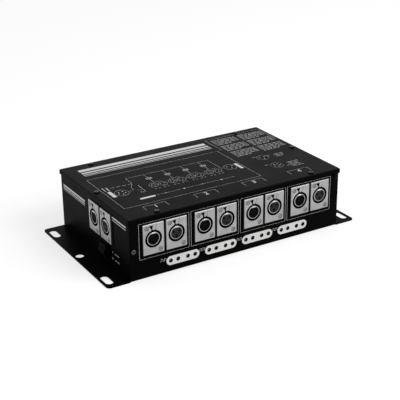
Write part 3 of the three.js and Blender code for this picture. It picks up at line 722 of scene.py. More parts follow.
lid = plate(rectangle(LID_LENGTH, LID_DEPTH), LID_LOW, LID_TOP)
open_side = [f for f in lid.faces if all(v.co.z < LID_LOW + NEAR for v in f.verts)]
bmesh.ops.delete(lid, geom=open_side, context="FACES")
folds = [e for e in lid.edges if all(v.co.z > LID_TOP - NEAR for v in e.verts)]
round_off(lid, folds, LID_FOLD, BEND_STEPS)
ease(lid, LID_CORNER, steps=3)
lid = thickened(lid, LID_SHEET)
lid_holes = [drill(SCREW_HOLE, *THROUGH_LID, x, y, 16) for x, y in LID_SCREWS.values()]
lid = carve(lid, together(*lid_holes))
# Its folded-down sides get the darker case paint as painted shade, the same as the case below them.
tinted(lid, lambda _, normal: abs(normal.z) < 0.3)
lid_shape = pattern(lid, lid_paint, case_paint)
piece("lid_cover", lid_shape, CASE_AXES, nodes=["lid"], slot="lid_paint")


def dressed(node, material):
    """A CAD part that stays as it is, with a new finish in its material slots."""
    for material_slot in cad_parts[node].material_slots:
        material_slot.material = material
    print(node, "keeps its shape, finish:", material.name)


dressed("left_end_panel", case_paint)
dressed("right_end_panel", case_paint)

# %% [markdown]
# ## Screws
#
# Black pan-head screws close the case, and two flat-head screws in countersunk holes hold each socket.
# The cross-shaped recess in a head narrows downwards, so its cutter is two crossed wedges, whose lower
# ends are scaled in. Each head is turned from its section.

# %% Draw the two kinds of screw
RECESS_TAPER = 0.35
PAN_TOP = 1.8
PAN_RIM = 1.25
PAN_RECESS = 5.2
PAN_ARM = 1.05


def cross_recess(span, arm, top, depth):
    """A cutter for a cross-head screw: two crossed wedges, each as wide as an arm."""
    wedges = []
    for width, height in ((span, arm), (arm, span)):
        wedge = plate(rectangle(width, height), top - depth, top + 0.5)
        low = [v for v in wedge.verts if v.co.z < top]
        bmesh.ops.scale(wedge, verts=low, vec=(RECESS_TAPER, RECESS_TAPER, 1))
        wedges.append(wedge)
    return wedges


def round_zone(outer, low, high, inner=-1.0, x=0.0, y=0.0):
    """Picks faces between two radii and two heights."""
    return lambda middle, _: (
        inner < math.hypot(middle.x - x, middle.y - y) < outer and low < middle.z < high
    )


def recess_zone(reach, top):
    return round_zone(reach, top - 1.2, top - 0.15)


def pan_head_screw():
    """A head of 6.2 mm, whose rim and underside get the second finish, a painted shade, as the recess
    does.
    """
    section = [
        (0, PAN_TOP), (1.2, 1.76), (2.0, 1.62), (2.6, 1.3), (2.95, 0.85), (3.1, 0.35), (3.1, 0.0),
        (1.4, 0.0), (1.4, -7.6), (1.0, -8.0), (0, -8.0),
    ]
    screw = carve(turned(section, 32), *cross_recess(PAN_RECESS, PAN_ARM, PAN_TOP, 1.1))
    # Painted shade: the rim and underside below PAN_RIM, and the recess walls, get the black finish.
    tinted(screw, lambda middle, _: middle.z < PAN_RIM)
    return tinted(screw, recess_zone(PAN_RECESS * 0.3, PAN_TOP))


def flat_head_screw(top):
    section = [
        (0, top), (1.85, top), (2.0, top - 0.1), (2.0, top - 0.3), (1.1, top - 1.2),
        (1.1, top - 7.0), (0, top - 7.0),
    ]
    # Painted shade: the walls of the cross recess get the black finish.
    return tinted(
        carve(turned(section, 24), *cross_recess(2.6, 0.46, top, 0.9)), recess_zone(1.45, top)
    )


def twist(x, y, degrees):
    return at(x, y) @ Matrix.Rotation(math.radians(degrees), 4, "Z")


zinc_screw = pattern(pan_head_screw(), black_zinc, painted_shade_black)
painted_shade_screw = pattern(pan_head_screw(), painted_shade_screw_finish, painted_shade_black)
SCREW_TWISTS = {
    "front_left": 20, "front_right": 65, "back_left": 40, "back_right": 8, "left": 52, "right": 30,
}
for name, (x, y) in LID_SCREWS.items():
    piece(
        f"lid_screw_head_{name}", zinc_screw, TOP @ twist(x, y, SCREW_TWISTS[name]),
        nodes=[f"lid_screw_{name}"], slot="black_screw",
    )
# The right wall screw takes the near-black copy, as painted shade.
for name, (x, z), shape, degrees in zip(
    ("left", "right"), WALL_SCREWS, (zinc_screw, painted_shade_screw), (33, 12),
):
    piece(
        f"wall_screw_head_{name}", shape, FRONT @ twist(x, z, degrees),
        nodes=[f"wall_screw_{name}"], slot="black_screw",
    )
print("screw heads:", len(LID_SCREWS) + len(WALL_SCREWS))

# %% [markdown]
# ## The socket housings
#
# A socket is a die-cast block: a plate in front, a barrel behind, and in it a deep round groove for the
# rim of the plug. Inside the groove stands a thin ring, polished at its rim, where its lighter nickel
# is a painted highlight. One spun cutter turns the groove and the ring's front, rounded edges included,
# and a second one the bore, which is flat on top. The walls of groove and slot are plain black as
# painted shade, and the left and right edges of the plate are rounded and painted a darker nickel than
# its face, as painted shade.

# %% Cast the housings
PLATE_WIDTH = 26.0
PLATE_HEIGHT = 35.0
PLATE_FRONT = 2.0
PLATE_EDGE = 1.8
EDGE_ZONE = 0.15
FINE_SIDES = 64
BARREL = 11.7
SCREW_X = 8.1
SCREW_Y = 13.2
SINK_ZONE = 2.6
# What lies below SKIN is inside the plate or the barrel, not on the plate's face.
SKIN = PLATE_FRONT - 0.02
DEEP = -30.0
RING_FRONT = 1.95
RING_OUTER = 7.5
BORE = 6.8
BORE_FLAT = 5.8


def plate_with_barrel():
    block = plate(rectangle(PLATE_WIDTH, PLATE_HEIGHT), 0, PLATE_FRONT, corner=0.8)
    ease(block, PLATE_EDGE, steps=8, where=above(PLATE_FRONT - NEAR))
    barrel = turned([(0, -22), (11.4, -22), (BARREL, -21.7), (BARREL, 1), (0, 1)], FINE_SIDES)
    return carve(block, barrel, operation="UNION")


def countersinks():
    section = [(0, -9), (1.2, -9), (1.2, 0.4), (2.55, 1.75), (2.55, 3), (0, 3)]
    return together(*[turned(section, 24, side * SCREW_X, -side * SCREW_Y) for side in (-1, 1)])


SLOT_POINTS = [(-2.3, 8.85), (2.3, 8.85), (4.05, 15.95), (-4.3, 15.95)]
NOTCH_POINTS = [
    (-1.9, 9.7), (-0.9, 9.7), (-1.2, 11.4), (-0.2, 15.3), (-5.7, 15.3), (-2.3, 11.4),
]
NOTCH_BOTTOM = 0.9


def flat_topped(section, flat):
    """A turned part with a flat along its top, as keyed inserts have."""
    bm = turned(section, FINE_SIDES)
    everything = bm.verts[:] + bm.edges[:] + bm.faces[:]
    cut = bmesh.ops.bisect_plane(
        bm, geom=everything, plane_co=(0, flat, 0), plane_no=(0, 1, 0), clear_outer=True,
    )
    bmesh.ops.contextual_create(bm, geom=only(cut["geom_cut"], bmesh.types.BMEdge))
    return outward(bm)


def dull_sides(bm):
    """Painted shade: darker nickel on the plate's side edges and black in its countersinks."""
    tinted(bm, lambda middle, normal: (
        abs(middle.x) > PLATE_WIDTH / 2 - PLATE_EDGE and middle.z > 0 and abs(normal.x) > EDGE_ZONE
    ))
    for side in (-1, 1):
        tinted(bm, round_zone(SINK_ZONE, DEEP, SKIN, x=side * SCREW_X, y=-side * SCREW_Y), 2)
    return bm


def socket_housing():
    groove = turned([
        (0, RING_FRONT), (7.2, RING_FRONT), (7.35, RING_FRONT - 0.05), (7.45, RING_FRONT - 0.17),
        (RING_OUTER, RING_FRONT - 0.36), (RING_OUTER, -12), (9.85, -12),
        (9.85, 1.6), (10.05, 2.0), (10.05, 3), (0, 3),
    ], FINE_SIDES)
    bore = flat_topped([
        (0, -24), (BORE, -24), (BORE, RING_FRONT - 0.1), (BORE + 0.08, RING_FRONT + 0.02),
        (BORE + 0.08, 3), (0, 3),
    ], BORE_FLAT)
    slot_cut = plate(SLOT_POINTS, -5.85, 3, corner=0.3, steps=3)
    notch = plate(NOTCH_POINTS, NOTCH_BOTTOM, 3)
    shell = carve(plate_with_barrel(), groove, bore, slot_cut, notch, countersinks())
    # Painted shade: the walls of the latch slot go black.
    tinted(shell, lambda middle, _: (
        abs(middle.x) < 5.6 and 8.8 < middle.y < 16.1 and -6 < middle.z < SKIN
    ), 2)
    # Painted shade: the walls and floor of the outer groove go black.
    ring_edge = RING_OUTER - 0.02
    tinted(shell, round_zone(10.0, DEEP, SKIN, inner=ring_edge), 2)
    # The ring's front gets the polished nickel, smoother for real and lighter as a painted highlight.
    tinted(shell, round_zone(ring_edge, RING_FRONT - 0.3, SKIN), 3)
    return dull_sides(shell)


def plug_housing():
    bore = turned([
        (0, -24), (9.5, -24), (9.5, 1.5), (9.65, 1.85), (10.0, 2.0), (10.0, 3), (0, 3),
    ], FINE_SIDES)
    key = plate(rectangle(1.6, 1.4, 0, 9.2), -13, 1.2, corner=0.2, steps=2)
    body = carve(plate_with_barrel(), bore, countersinks())
    return dull_sides(together(body, key))


socket_shape = pattern(socket_housing(), satin_nickel, painted_shade_edge, painted_shade_black, polished_nickel)
plug_shape = pattern(plug_housing(), satin_nickel, painted_shade_edge, painted_shade_black)
print("socket housing faces:", len(socket_shape.polygons))

# %% [markdown]
# ## Inserts, contacts and latches
#
# The insert is the nylon block that holds the contacts. Chamfered mouths guide the plug's pins into its
# holes, and in each sits a split spring sleeve. A thin black sheet stands in the outer groove as
# painted shade. The latch is the nickel tongue above the socket: pressing it in releases the plug. A
# three-cornered notch with a stem down to the groove, black inside as painted shade, shows where to
# press, and fine ribs give some grip.

# %% Mould the inserts
INSERT_FRONT = 1.6
INSERT_BACK = -23.0
INSERT_RADIUS = 6.72
INSERT_FLAT = 5.7
LAYOUTS = {
    "three_pin": {"angles": (155, 25, 270), "circle": 3.9, "hole": 1.3, "pin": 1.2},
    "five_pin": {"angles": (150, 30, 210, 330, 270), "circle": 4.2, "hole": 0.9, "pin": 0.8},
}


def contact_places(layout):
    for degrees in layout["angles"]:
        turn = math.radians(degrees)
        yield at(layout["circle"] * math.cos(turn), layout["circle"] * math.sin(turn))


def socket_insert(layout):
    body = flat_topped([
        (0, INSERT_BACK), (INSERT_RADIUS, INSERT_BACK), (INSERT_RADIUS, INSERT_FRONT - 0.2),
        (INSERT_RADIUS - 0.06, INSERT_FRONT - 0.06), (INSERT_RADIUS - 0.2, INSERT_FRONT),
        (0, INSERT_FRONT),
    ], INSERT_FLAT)
    hole = layout["hole"]
    drill_bit = turned([
        (0, -7), (hole, -7), (hole, INSERT_FRONT - 0.25), (hole + 0.25, INSERT_FRONT + 0.01),
        (hole + 0.25, 3), (0, 3),
    ], 20)
    key = plate(rectangle(1.4, 1.2, 0, -6.2), -6, 3, corner=0.2, steps=2)
    body = carve(body, repeated(drill_bit, contact_places(layout)), key)
    # Painted shade: a thin black sheet in the outer groove, all in the black second finish.
    shade_liner = turned([
        (9.8, -11.9), (9.8, 1.55), (9.74, 1.65), (9.5, 1.65), (9.4, 1.5), (9.4, -11.4), (7.85, -11.4),
        (7.85, 0.55), (7.78, 0.68), (7.6, 0.68), (7.54, 0.6), (7.54, -11.9), (9.8, -11.9),
    ], FINE_SIDES)
    return together(body, tinted(shade_liner, lambda *_: True))


def sleeves(layout):
    """The metal in the insert: a spring sleeve in each hole, and a solder cup behind it."""
    outer = layout["hole"] - 0.02
    inner = outer - 0.28
    sleeve = turned([
        (outer, -6.9), (outer, -2.6), (outer - 0.1, -2.5), (inner + 0.05, -2.55), (inner, -2.7),
        (inner, -6.9), (outer, -6.9),
    ], 16)
    cup = turned([(0, -27), (0.6, -27), (0.8, -26.8), (0.8, -22.5), (0, -22.5)], 12)
    return repeated(together(sleeve, cup), contact_places(layout))


TONGUE_TOP = 1.9
TONGUE_POINTS = [
    (-0.3, 9.95), (1.8, 9.95), (1.8, 10.6), (2.5, 10.6), (3.86, 15.8), (-4.12, 15.8), (-2.65, 10.6),
    (-0.3, 10.6),
]


def push_latch():
    tongue = carve(plate(TONGUE_POINTS, -4, TONGUE_TOP), plate(NOTCH_POINTS, NOTCH_BOTTOM, 3))
    # Painted shade: the walls and floor of the notch get the black second finish.
    tinted(tongue, lambda middle, _: (
        -4.6 < middle.x < -0.2 and 9.6 < middle.y < 15.4 and 0.8 < middle.z < TONGUE_TOP - 0.05
    ))
    ease(tongue, 0.08, where=above(TONGUE_TOP - 0.02))
    hook = ease(plate(rectangle(3.6, 2.0, 0, 9.8), -2.6, -1.0), 0.15)
    rib = plate(rectangle(2.6, 0.3), TONGUE_TOP - 0.05, TONGUE_TOP + 0.08, corner=0.12, steps=2)
    ribs = repeated(rib, [at(1.0, y) for y in (12.3, 13.3, 14.3)])
    return together(tongue, hook, ribs)


INSERT_SLOTS = {"three_pin": "insert_grey", "five_pin": "insert_black"}
insert_shapes, sleeve_shapes = {}, {}
for kind, nylon in (("three_pin", grey_nylon), ("five_pin", black_nylon)):
    insert_shapes[kind] = pattern(socket_insert(LAYOUTS[kind]), nylon, painted_shade_black)
    sleeve_shapes[kind] = pattern(sleeves(LAYOUTS[kind]), bright_nickel)
latch_shape = pattern(push_latch(), satin_nickel, painted_shade_black)
plate_screw = flat_head_screw(PLATE_FRONT - 0.12)
plate_screws = pattern(repeated(plate_screw, [
    twist(SCREW_X, -SCREW_Y, 25), twist(-SCREW_X, SCREW_Y, 70),
]), nickel_screw, painted_shade_black)
print("insert faces:", {kind: len(shape.polygons) for kind, shape in insert_shapes.items()})

# %% [markdown]
# ### Setting down the ten sockets
#
# Every socket is the same five patterns at another place. Only the latch moves, so it rides on its own
# body, and everything else on the case.

# %% Set down the sockets
END_SOCKET_Z = 45.8
END_PLACES = {"five_pin": 5.05, "three_pin": 33.15}


def socket(name, kind, place):
    base = f"{name}_{kind}"
    piece(f"{base}_shell", socket_shape, place, nodes=[f"{base}_housing"], slot="connector_plate")
    core = insert_shapes[kind]
    piece(f"{base}_core", core, place, nodes=[f"{base}_insert"], slot=INSERT_SLOTS[kind])
    piece(f"{base}_sleeves", sleeve_shapes[kind], place)
    piece(f"{base}_screws", plate_screws, place)
    piece(
        f"{base}_tongue", latch_shape, place, body=f"{base}_latch", nodes=[f"{base}_latch"],
        slot="connector_plate",
    )


for number, middle in enumerate(PAIR_MIDDLES, 1):
    for kind, half in (("five_pin", -PAIR_HALF), ("three_pin", PAIR_HALF)):
        socket(f"output_{number}", kind, FRONT @ at(middle + half, SOCKET_Z))
for kind, across in END_PLACES.items():
    socket("link", kind, LEFT @ at(across, END_SOCKET_Z))
print("sockets:", 2 * len(PAIR_MIDDLES) + len(END_PLACES))

# %% [markdown]
# ## The input plugs
#
# The signal comes in at the right end through two plugs, whose pins stand inside a round shell. The
# pins are turned with rounded tips, so that they find their holes.

# %% Input plugs
def plug_pins(layout):
    radius = layout["pin"]
    pin = turned([
        (0, -23), (0.8, -23), (0.8, -17.5), (radius, -17.5), (radius, -0.4), (radius * 0.85, 0.05),
        (radius * 0.5, 0.38), (0, 0.5),
    ], 16)
    return repeated(pin, contact_places(layout))


disc = turned([(0, -18), (9.4, -18), (9.4, -13.3), (9.1, -13), (0, -13)])
disc_shape = pattern(disc, black_nylon)
for kind, layout in LAYOUTS.items():
    place = RIGHT @ at(-END_PLACES[kind], END_SOCKET_Z)
    base = f"input_{kind}"
    piece(f"{base}_shell", plug_shape, place, nodes=[f"{base}_housing"], slot="connector_plate")
    piece(f"{base}_disc", disc_shape, place, nodes=[f"{base}_insert"], slot="insert_black")
    piece(f"{base}_pins", pattern(plug_pins(layout), bright_nickel), place, slot="pin_insert")
    piece(f"{base}_screws", plate_screws, place)
print("pieces so far:", len(pieces_made))

# %% [markdown]
# ## Rocker switches
#
# A rocker switch is a moulded frame with a well, and in it a ridged rocker that tips on two stubs. The
# rocker's section is a low roof: it is drawn flat, raised to the rocker's width and laid down to face
# sideways. Its ridge gets the widest bevel, to be comfortable under a finger.

# %% Switch frames and rockers
SWITCH_Z = 16.1
TERMINATION_ACROSS = 28.4
POWER_ACROSS = 8.0
ROCKER_TILT = math.radians(9)
ROCKER_WIDTH = 14.3
WELL = (15, 18)
WELL_FLARE = 1.8
LAID_DOWN = Matrix(((0, 0, 1, 0), (1, 0, 0, 0), (0, 1, 0, 0), (0, 0, 0, 1)))


def flare(mouth, height, across, up, about=Matrix()):
    """Widens what lies above a height of a cutter, for a chamfered mouth."""
    upper = [v for v in mouth.verts if v.co.z > height]
    bmesh.ops.scale(mouth, verts=upper, vec=(across, up, 1), space=about)


def switch_frame():
    bezel = plate(rectangle(20, 23.2), 0, 2, corner=1.0)
    ease(bezel, 0.5, steps=4, where=above(1.9))
    body = plate(rectangle(17, 20), -13, 1, corner=0.5, steps=2)
    frame_shape = carve(bezel, body, operation="UNION")
    well = plate(rectangle(*WELL), -5.5, 3, corner=0.4, steps=3)
    mouth = plate(rectangle(*WELL), 1.7, 2.6, corner=0.4, steps=3)
    flare(mouth, 2, *[1 + WELL_FLARE / side for side in WELL])
    return carve(frame_shape, well, mouth)


def switch_tabs():
    tab = ease(plate(rectangle(4.8, 0.8), -21, -12.2, corner=0.2, steps=2), 0.12)
    return repeated(tab, [at(0, -4.5), at(0, 4.5)])


def tilt():
    pivot = at(0, 0, -1)
    return pivot @ Matrix.Rotation(ROCKER_TILT, 4, "X") @ pivot.inverted()


def rocker():
    roof = [(-7.4, -3.0), (7.4, -3.0), (8.2, 2.2), (0, 7.2), (-8.2, 2.2)]
    bar = moved(plate(roof, -ROCKER_WIDTH / 2, ROCKER_WIDTH / 2), LAID_DOWN)
    ridge = [e for e in bar.edges if all(abs(v.co.y) < NEAR and v.co.z > 7 for v in e.verts)]
    round_off(bar, ridge, 0.9, 5)
    ease(bar, 0.45, steps=3)
    stub = moved(drill(1.2, -8.0, 8.0, sides=16), at(0, 0, -1) @ LAID_DOWN)
    return moved(carve(bar, stub, operation="UNION"), tilt())


frame_shape = pattern(switch_frame(), switch_nylon)
tabs_shape = pattern(switch_tabs(), bright_nickel)
rocker_shape = pattern(rocker(), switch_nylon)
SWITCHES = {
    "termination": LEFT @ at(TERMINATION_ACROSS, SWITCH_Z),
    "power": RIGHT @ at(POWER_ACROSS, SWITCH_Z),
}
for name, place in SWITCHES.items():
    piece(
        f"{name}_switch_bezel", frame_shape, place, nodes=[f"{name}_switch_frame"],
        slot="switch_plastic",
    )
    piece(f"{name}_switch_tabs", tabs_shape, place)
    piece(
        f"{name}_switch_key", rocker_shape, place, body=f"{name}_rocker",
        nodes=[f"{name}_switch_rocker"], slot="switch_plastic",
    )
print("rocker faces:", len(rocker_shape.polygons))

# %% [markdown]
# ## Mains inlet, fuse drawer and fuse
#
# Mains comes in through a standard inlet with three blades, and its fuse sits in a small drawer below
# them. The cavity's two upper corners are cut off, so that the lead goes in only one way up. The fuse
# is a glass tube with two nickel caps and a thin wire, and shows when the drawer is pulled out.

# %% Mains inlet
DRAWER_DROP = 9.4
INLET_SCREW_X = 20
INLET_PLACE = RIGHT @ at(49.0, 35.0)
DRAWER_PLACE = INLET_PLACE @ at(0, -DRAWER_DROP)
SOCKET_OUTLINE = [
    (-12.1, -3.0), (12.1, -3.0), (12.1, 8.9), (7.6, 13.4), (-7.6, 13.4), (-12.1, 8.9),
]


def inlet_body():
    flange = plate(rectangle(50, 34), 0, 3, corner=3.0, steps=8)
    ease(flange, 0.5, steps=4, where=above(2.9))
    shell = plate(rectangle(29, 31), -26, 1.5, corner=0.5, steps=2)
    joined_up = carve(flange, shell, operation="UNION")
    cavity = plate(SOCKET_OUTLINE, -14, 5, corner=0.8, steps=3)
    mouth = plate(SOCKET_OUTLINE, 2.6, 3.5, corner=0.8, steps=3)
    flare(mouth, 3, 1.08, 1.11, at(0, -5.2))
    drawer_well = plate(rectangle(24.7, 8.9, 0, -DRAWER_DROP), -18.35, 5, corner=0.3, steps=2)
    screw_holes = together(*[
        turned([
            (0, -4), (SCREW_HOLE, -4), (SCREW_HOLE, 1.3), (3.0, 2.6), (3.0, 5), (0, 5),
        ], 24, side * INLET_SCREW_X)
        for side in (-1, 1)
    ])
    return carve(joined_up, cavity, mouth, drawer_well, screw_holes)


def inlet_blades():
    blade = plate(rectangle(2, 4), -16, 0, corner=0.3, steps=2)
    tip = [e for e in blade.edges if all(v.co.z > -NEAR for v in e.verts)]
    round_off(blade, tip, 0.5, 3)
    tab = ease(plate(rectangle(6.3, 0.8), -35, -25.2, corner=0.2, steps=2), 0.12)
    return together(
        repeated(blade, [at(-7, 4.2), at(7, 4.2), at(0, 8.8)]),
        repeated(tab, [at(x, 5.2) for x in (-9, 0, 9)]),
    )


# The inlet's screws are the same kind, a size wider.
inlet_screw = moved(flat_head_screw(2.85), Matrix.Diagonal((1.3, 1.3, 1, 1)))
piece(
    "mains_inlet_body", pattern(inlet_body(), inlet_nylon), INLET_PLACE, nodes=["mains_inlet"],
    slot="inlet_plastic",
)
piece("mains_inlet_blades", pattern(inlet_blades(), bright_nickel), INLET_PLACE)
inlet_screws = repeated(inlet_screw, [
    twist(-INLET_SCREW_X, 0, 15), twist(INLET_SCREW_X, 0, 60),
])
piece("mains_inlet_screws", pattern(inlet_screws, black_zinc, painted_shade_black), INLET_PLACE)
print("pieces so far:", len(pieces_made))

# %% Fuse drawer and fuse
FUSE_DEPTH = -6.4
TROUGH_HALF = 2.95


def drawer():
    block = plate(rectangle(24, 8.2), -18, 4.2, corner=0.3, steps=2)
    ease(block, 0.25, where=above(4.1))
    lip = ease(plate(rectangle(24, 1.2, 0, 4.7), 3.0, 5.6), 0.2)
    whole = carve(block, lip, operation="UNION")
    low, high = FUSE_DEPTH - TROUGH_HALF, FUSE_DEPTH + TROUGH_HALF
    return carve(whole, plate(rectangle(20.7, 12.1, 0, 3.1), low, high))


def laid_across(shape):
    """Turns a shape from the out axis to lie across the panel, at the fuse's depth."""
    return moved(shape, at(0, 0, FUSE_DEPTH) @ Matrix.Rotation(math.pi / 2, 4, "Y"))


tube = laid_across(turned([
    (2.1, -9.5), (2.5, -9.5), (2.5, 9.5), (2.1, 9.5), (2.1, -9.5),
], 24))
cap = [(0, -10), (2.4, -10), (2.6, -9.8), (2.6, -5.1), (2.52, -5.0), (2.52, -9.4), (0, -9.4)]
other_cap = [(radius, -height) for radius, height in cap]
caps = laid_across(together(turned(cap, 24), turned(other_cap, 24)))
wire = laid_across(drill(0.12, -9.4, 9.4, sides=8))
in_drawer = {"body": "fuse_drawer", "place": DRAWER_PLACE}
piece(
    "fuse_drawer_tray", pattern(drawer(), inlet_nylon), nodes=["fuse_drawer"],
    slot="inlet_plastic", **in_drawer,
)
piece("fuse_glass_tube", pattern(tube, glass), nodes=["mains_fuse"], slot="fuse", **in_drawer)
piece("fuse_caps", pattern(together(caps, wire), bright_nickel), **in_drawer)
print("pieces so far:", len(pieces_made))

# %% [markdown]
# ## The lamps
#
# Four small lamps stand behind the holes under each pair of sockets, a little below the skin, on a
# nylon block that keeps them at one height. A lamp is an epoxy dome on a short barrel, so it is turned.
# The first and third of each group are clear, and the other two smoked.

# %% Lamps and their blocks
LAMP_RADIUS = 1.5
DOME_BASE = -2.1
turns = [math.radians(degrees) for degrees in range(0, 90, 15)]
dome = [(LAMP_RADIUS * math.cos(turn), DOME_BASE + LAMP_RADIUS * math.sin(turn)) for turn in turns]
lamp = [(0, -6.4), (LAMP_RADIUS, -6.4), *dome, (0, DOME_BASE + LAMP_RADIUS)]


def lamps(offsets, lens):
    return pattern(repeated(turned(lamp, 24), [at(x, 0) for x in offsets]), lens)


block_shape = pattern(ease(plate(rectangle(37, 7.2, 0, -0.05), -11, -5), 0.3), black_nylon)
clear_shape = lamps(LAMP_OFFSETS[0::2], clear_lens)
smoked_shape = lamps(LAMP_OFFSETS[1::2], smoked_lens)
for number, middle in enumerate(LAMP_MIDDLES, 1):
    place = FRONT @ at(middle, LAMP_Z)
    piece(
        f"lamp_holder_{number}", block_shape, place, nodes=[f"lamp_block_{number}"],
        slot="lamp_block",
    )
    piece(f"lamps_clear_{number}", clear_shape, place)
    piece(f"lamps_smoked_{number}", smoked_shape, place)
print("lamps:", len(LAMP_MIDDLES) * len(LAMP_OFFSETS))

# %% [markdown]
# ## Inside the case
#
# The board, the regulator's heatsink and the transformer are closed in, so their CAD shapes are enough.
# They still get the finish that the real ones have.

# %% Finishes inside
dressed("main_board", green_board)
dressed("regulator_heatsink", extruded_aluminium)
dressed("transformer", laminated_steel)

# %% [markdown]
# ## Screen-printed marks
#
# The marks are a film of ink a few hundredths of a millimetre thick. A shader could paint them, but
# shapes stay sharp from any distance and need no image. Each mark is drawn flat and raised by the
# thickness of the ink. The only lettering is the numbers 1 to 4, which tell the outputs apart.

# %% How a mark is drawn
INK = 0.05
ALONG = 0.15
ACROSS = 0.23
DIGIT_SHARE = 0.72
BOLDER = 0.05


def mark_bar(x0, y0, x1, y1, width=None):
    """A straight line. Without a width, lines along the case are finer than those across it."""
    width = width or (ALONG if abs(x1 - x0) > abs(y1 - y0) else ACROSS)
    length = math.hypot(x1 - x0, y1 - y0)
    degrees = math.degrees(math.atan2(y1 - y0, x1 - x0))
    bar = plate(rectangle(length, width), 0, INK)
    return moved(bar, twist((x0 + x1) / 2, (y0 + y1) / 2, degrees))


def mark_path(*points, width=None):
    """Bars from point to point, each a little longer than the line, so that corners are filled."""
    bars = []
    for (x0, y0), (x1, y1) in zip(points, points[1:]):
        reach = (width or ALONG) / 2 / math.hypot(x1 - x0, y1 - y0)
        dx, dy = (x1 - x0) * reach, (y1 - y0) * reach
        bars.append(mark_bar(x0 - dx, y0 - dy, x1 + dx, y1 + dy, width))
    return together(*bars)


def mark_frame(width, height, x, y, line=None):
    """The outline of a rectangle."""
    corners = rectangle(width, height, x, y)
    return mark_path(*corners, corners[0], width=line)


def mark_ring(x, y, radius, width=ACROSS, sides=40):
    inner, outer = radius - width / 2, radius + width / 2
    return turned([(inner, 0), (outer, 0), (outer, INK), (inner, INK), (inner, 0)], sides, x, y)


def mark_dot(x, y, radius):
    return drill(radius, 0, INK, x, y, sides=20)


def mark_pill(x, y, length, height, steps=8):
    return plate(rectangle(length, height, x, y), 0, INK, corner=height * 0.499, steps=steps)


def mark_number(text, x, y, height):
    """A number in Blender's own font, made a mesh before it is placed."""
    letters = bpy.data.curves.new("number", "FONT")
    letters.body = str(text)
    letters.size = height / DIGIT_SHARE
    letters.align_x = "CENTER"
    letters.align_y = "CENTER"
    letters.resolution_u = 6
    letters.extrude = INK / 2
    letters.offset = BOLDER
    return moved(merged(to_bmesh(baked(stand("number", letters)))), at(x, y, INK / 2))


print("ink film:", INK, "mm")

# %% [markdown]
# ### The front
#
# Each output has a thin frame round its two sockets, a white field round its four lamps with a hole for
# each, and two small square pulses beside it as the sign for a signal.

# %% Print the front
FRAME_WIDTH = 60.4
FRAME_HEIGHT = 41.0
FRAME_Z = 43.9
FIELD_LENGTH = 40.8
FIELD_HEIGHT = 10.6
FIELD_HOLE = 2.45


def lamp_field(middle):
    field = mark_pill(middle, LAMP_Z, FIELD_LENGTH, FIELD_HEIGHT, steps=12)
    holes = [drill(FIELD_HOLE, -1, 1, middle + offset, LAMP_Z) for offset in LAMP_OFFSETS]
    return carve(field, together(*holes))


def signal_sign(x, y):
    """Two square pulses, as for a digital signal."""
    steps = [
        (-3.8, -1.4), (-3.0, -1.4), (-3.0, 1.4), (-1.0, 1.4), (-1.0, -1.4), (0.9, -1.4), (0.9, 1.4),
        (2.9, 1.4), (2.9, -1.4), (3.7, -1.4),
    ]
    return mark_path(*[(x + along, y + up) for along, up in steps], width=0.26)


marks = [mark_frame(FRAME_WIDTH, FRAME_HEIGHT, middle, FRAME_Z) for middle in PAIR_MIDDLES]
for middle in LAMP_MIDDLES:
    marks += [lamp_field(middle), signal_sign(middle - 24.0, LAMP_Z + 2.9)]
piece("front_print", pattern(together(*marks), white_ink), FRONT)
print("marks on the front:", len(marks))

# %% [markdown]
# ### The lid
#
# A thin frame holds a diagram of what the box does: one signal comes in at the left, passes along a
# line, and drops through four amplifiers to four pairs of sockets. At the right, an open frame goes
# round rows of dashes and two more socket signs. A bracket with a number stands over each pair at the
# front edge. The bars at the back are only decoration.

# %% Print the lid
def pin_symbol(x, y, radius, pins, line=0.2):
    """A ring with a dot for each pin."""
    turns = [math.radians(90 + 360 / pins * (index + 0.5)) for index in range(pins)]
    reach, dot = 0.5 * radius, 0.09 * radius
    dots = [mark_dot(x + reach * math.cos(turn), y + reach * math.sin(turn), dot) for turn in turns]
    return together(mark_ring(x, y, radius, line), *dots)


def bracket(middle, number):
    """A bracket whose legs point at the two sockets of one output, and its number."""
    left, right_end, back_y, front_y = middle - 13.5, middle + 13.5, -61.8, -71.8
    legs = mark_path((left, front_y), (left, back_y), (right_end, back_y), (right_end, front_y))
    return together(legs, mark_number(number, middle, -67.0, 6.8))


TRUNK_Y = 18.2
LOWER_Y = -41.6
FINE = 0.35
frames = [(173.1, 93.0, -39.1, -9.75)]
paths = [
    ((54.0, 38.0), (54.0, 76.0), (133.2, 77.5), (133.2, 36.0)),
    ((21.8, TRUNK_Y), (-86.2, TRUNK_Y), (-86.6, 2.4), (-92.6, -8.6), (-93.4, -16.0)),
    ((21.8, TRUNK_Y), (21.8, -12.8), (25.4, -14.0)),
]
symbols = [
    (-108.4, -16.2, 8.2, 5), (33.0, -14.6, 7.6, 3), (82.0, -9.7, 7.2, 3, 0.12),
    (81.9, -39.0, 7.6, 5, 0.12),
]
dots = [
    (-89.0, -25.3, 0.7), (-86.8, -26.4, 0.6), (-67.6, LOWER_Y, 0.7), (-44.3, LOWER_Y, 1.1),
    (-20.5, LOWER_Y, 0.7), (3.8, LOWER_Y, 1.1),
]
bars = [
    (-119.6, -6.8, -119.6, -23.4, 4.2), (-121.6, 6.6, -121.6, -4.0, 0.8),
    (-117.0, 6.0, -117.6, -4.6, 1.0), (-83.4, -6.4, -84.2, -26.6, FINE),
    (-90.0, -18.2, -86.0, -20.2), (-98.6, -15.8, -96.0, -17.2), (43.1, -8.4, 43.1, -25.4, 3.6),
    (-80.6, LOWER_Y, 21.8, LOWER_Y),
]
for x in (-113.0, -106.0, -99.0, -92.0):
    bars.append((x, 1.8 - 0.05 * (x + 104), x + 4.6, 1.6 - 0.05 * (x + 108), FINE))
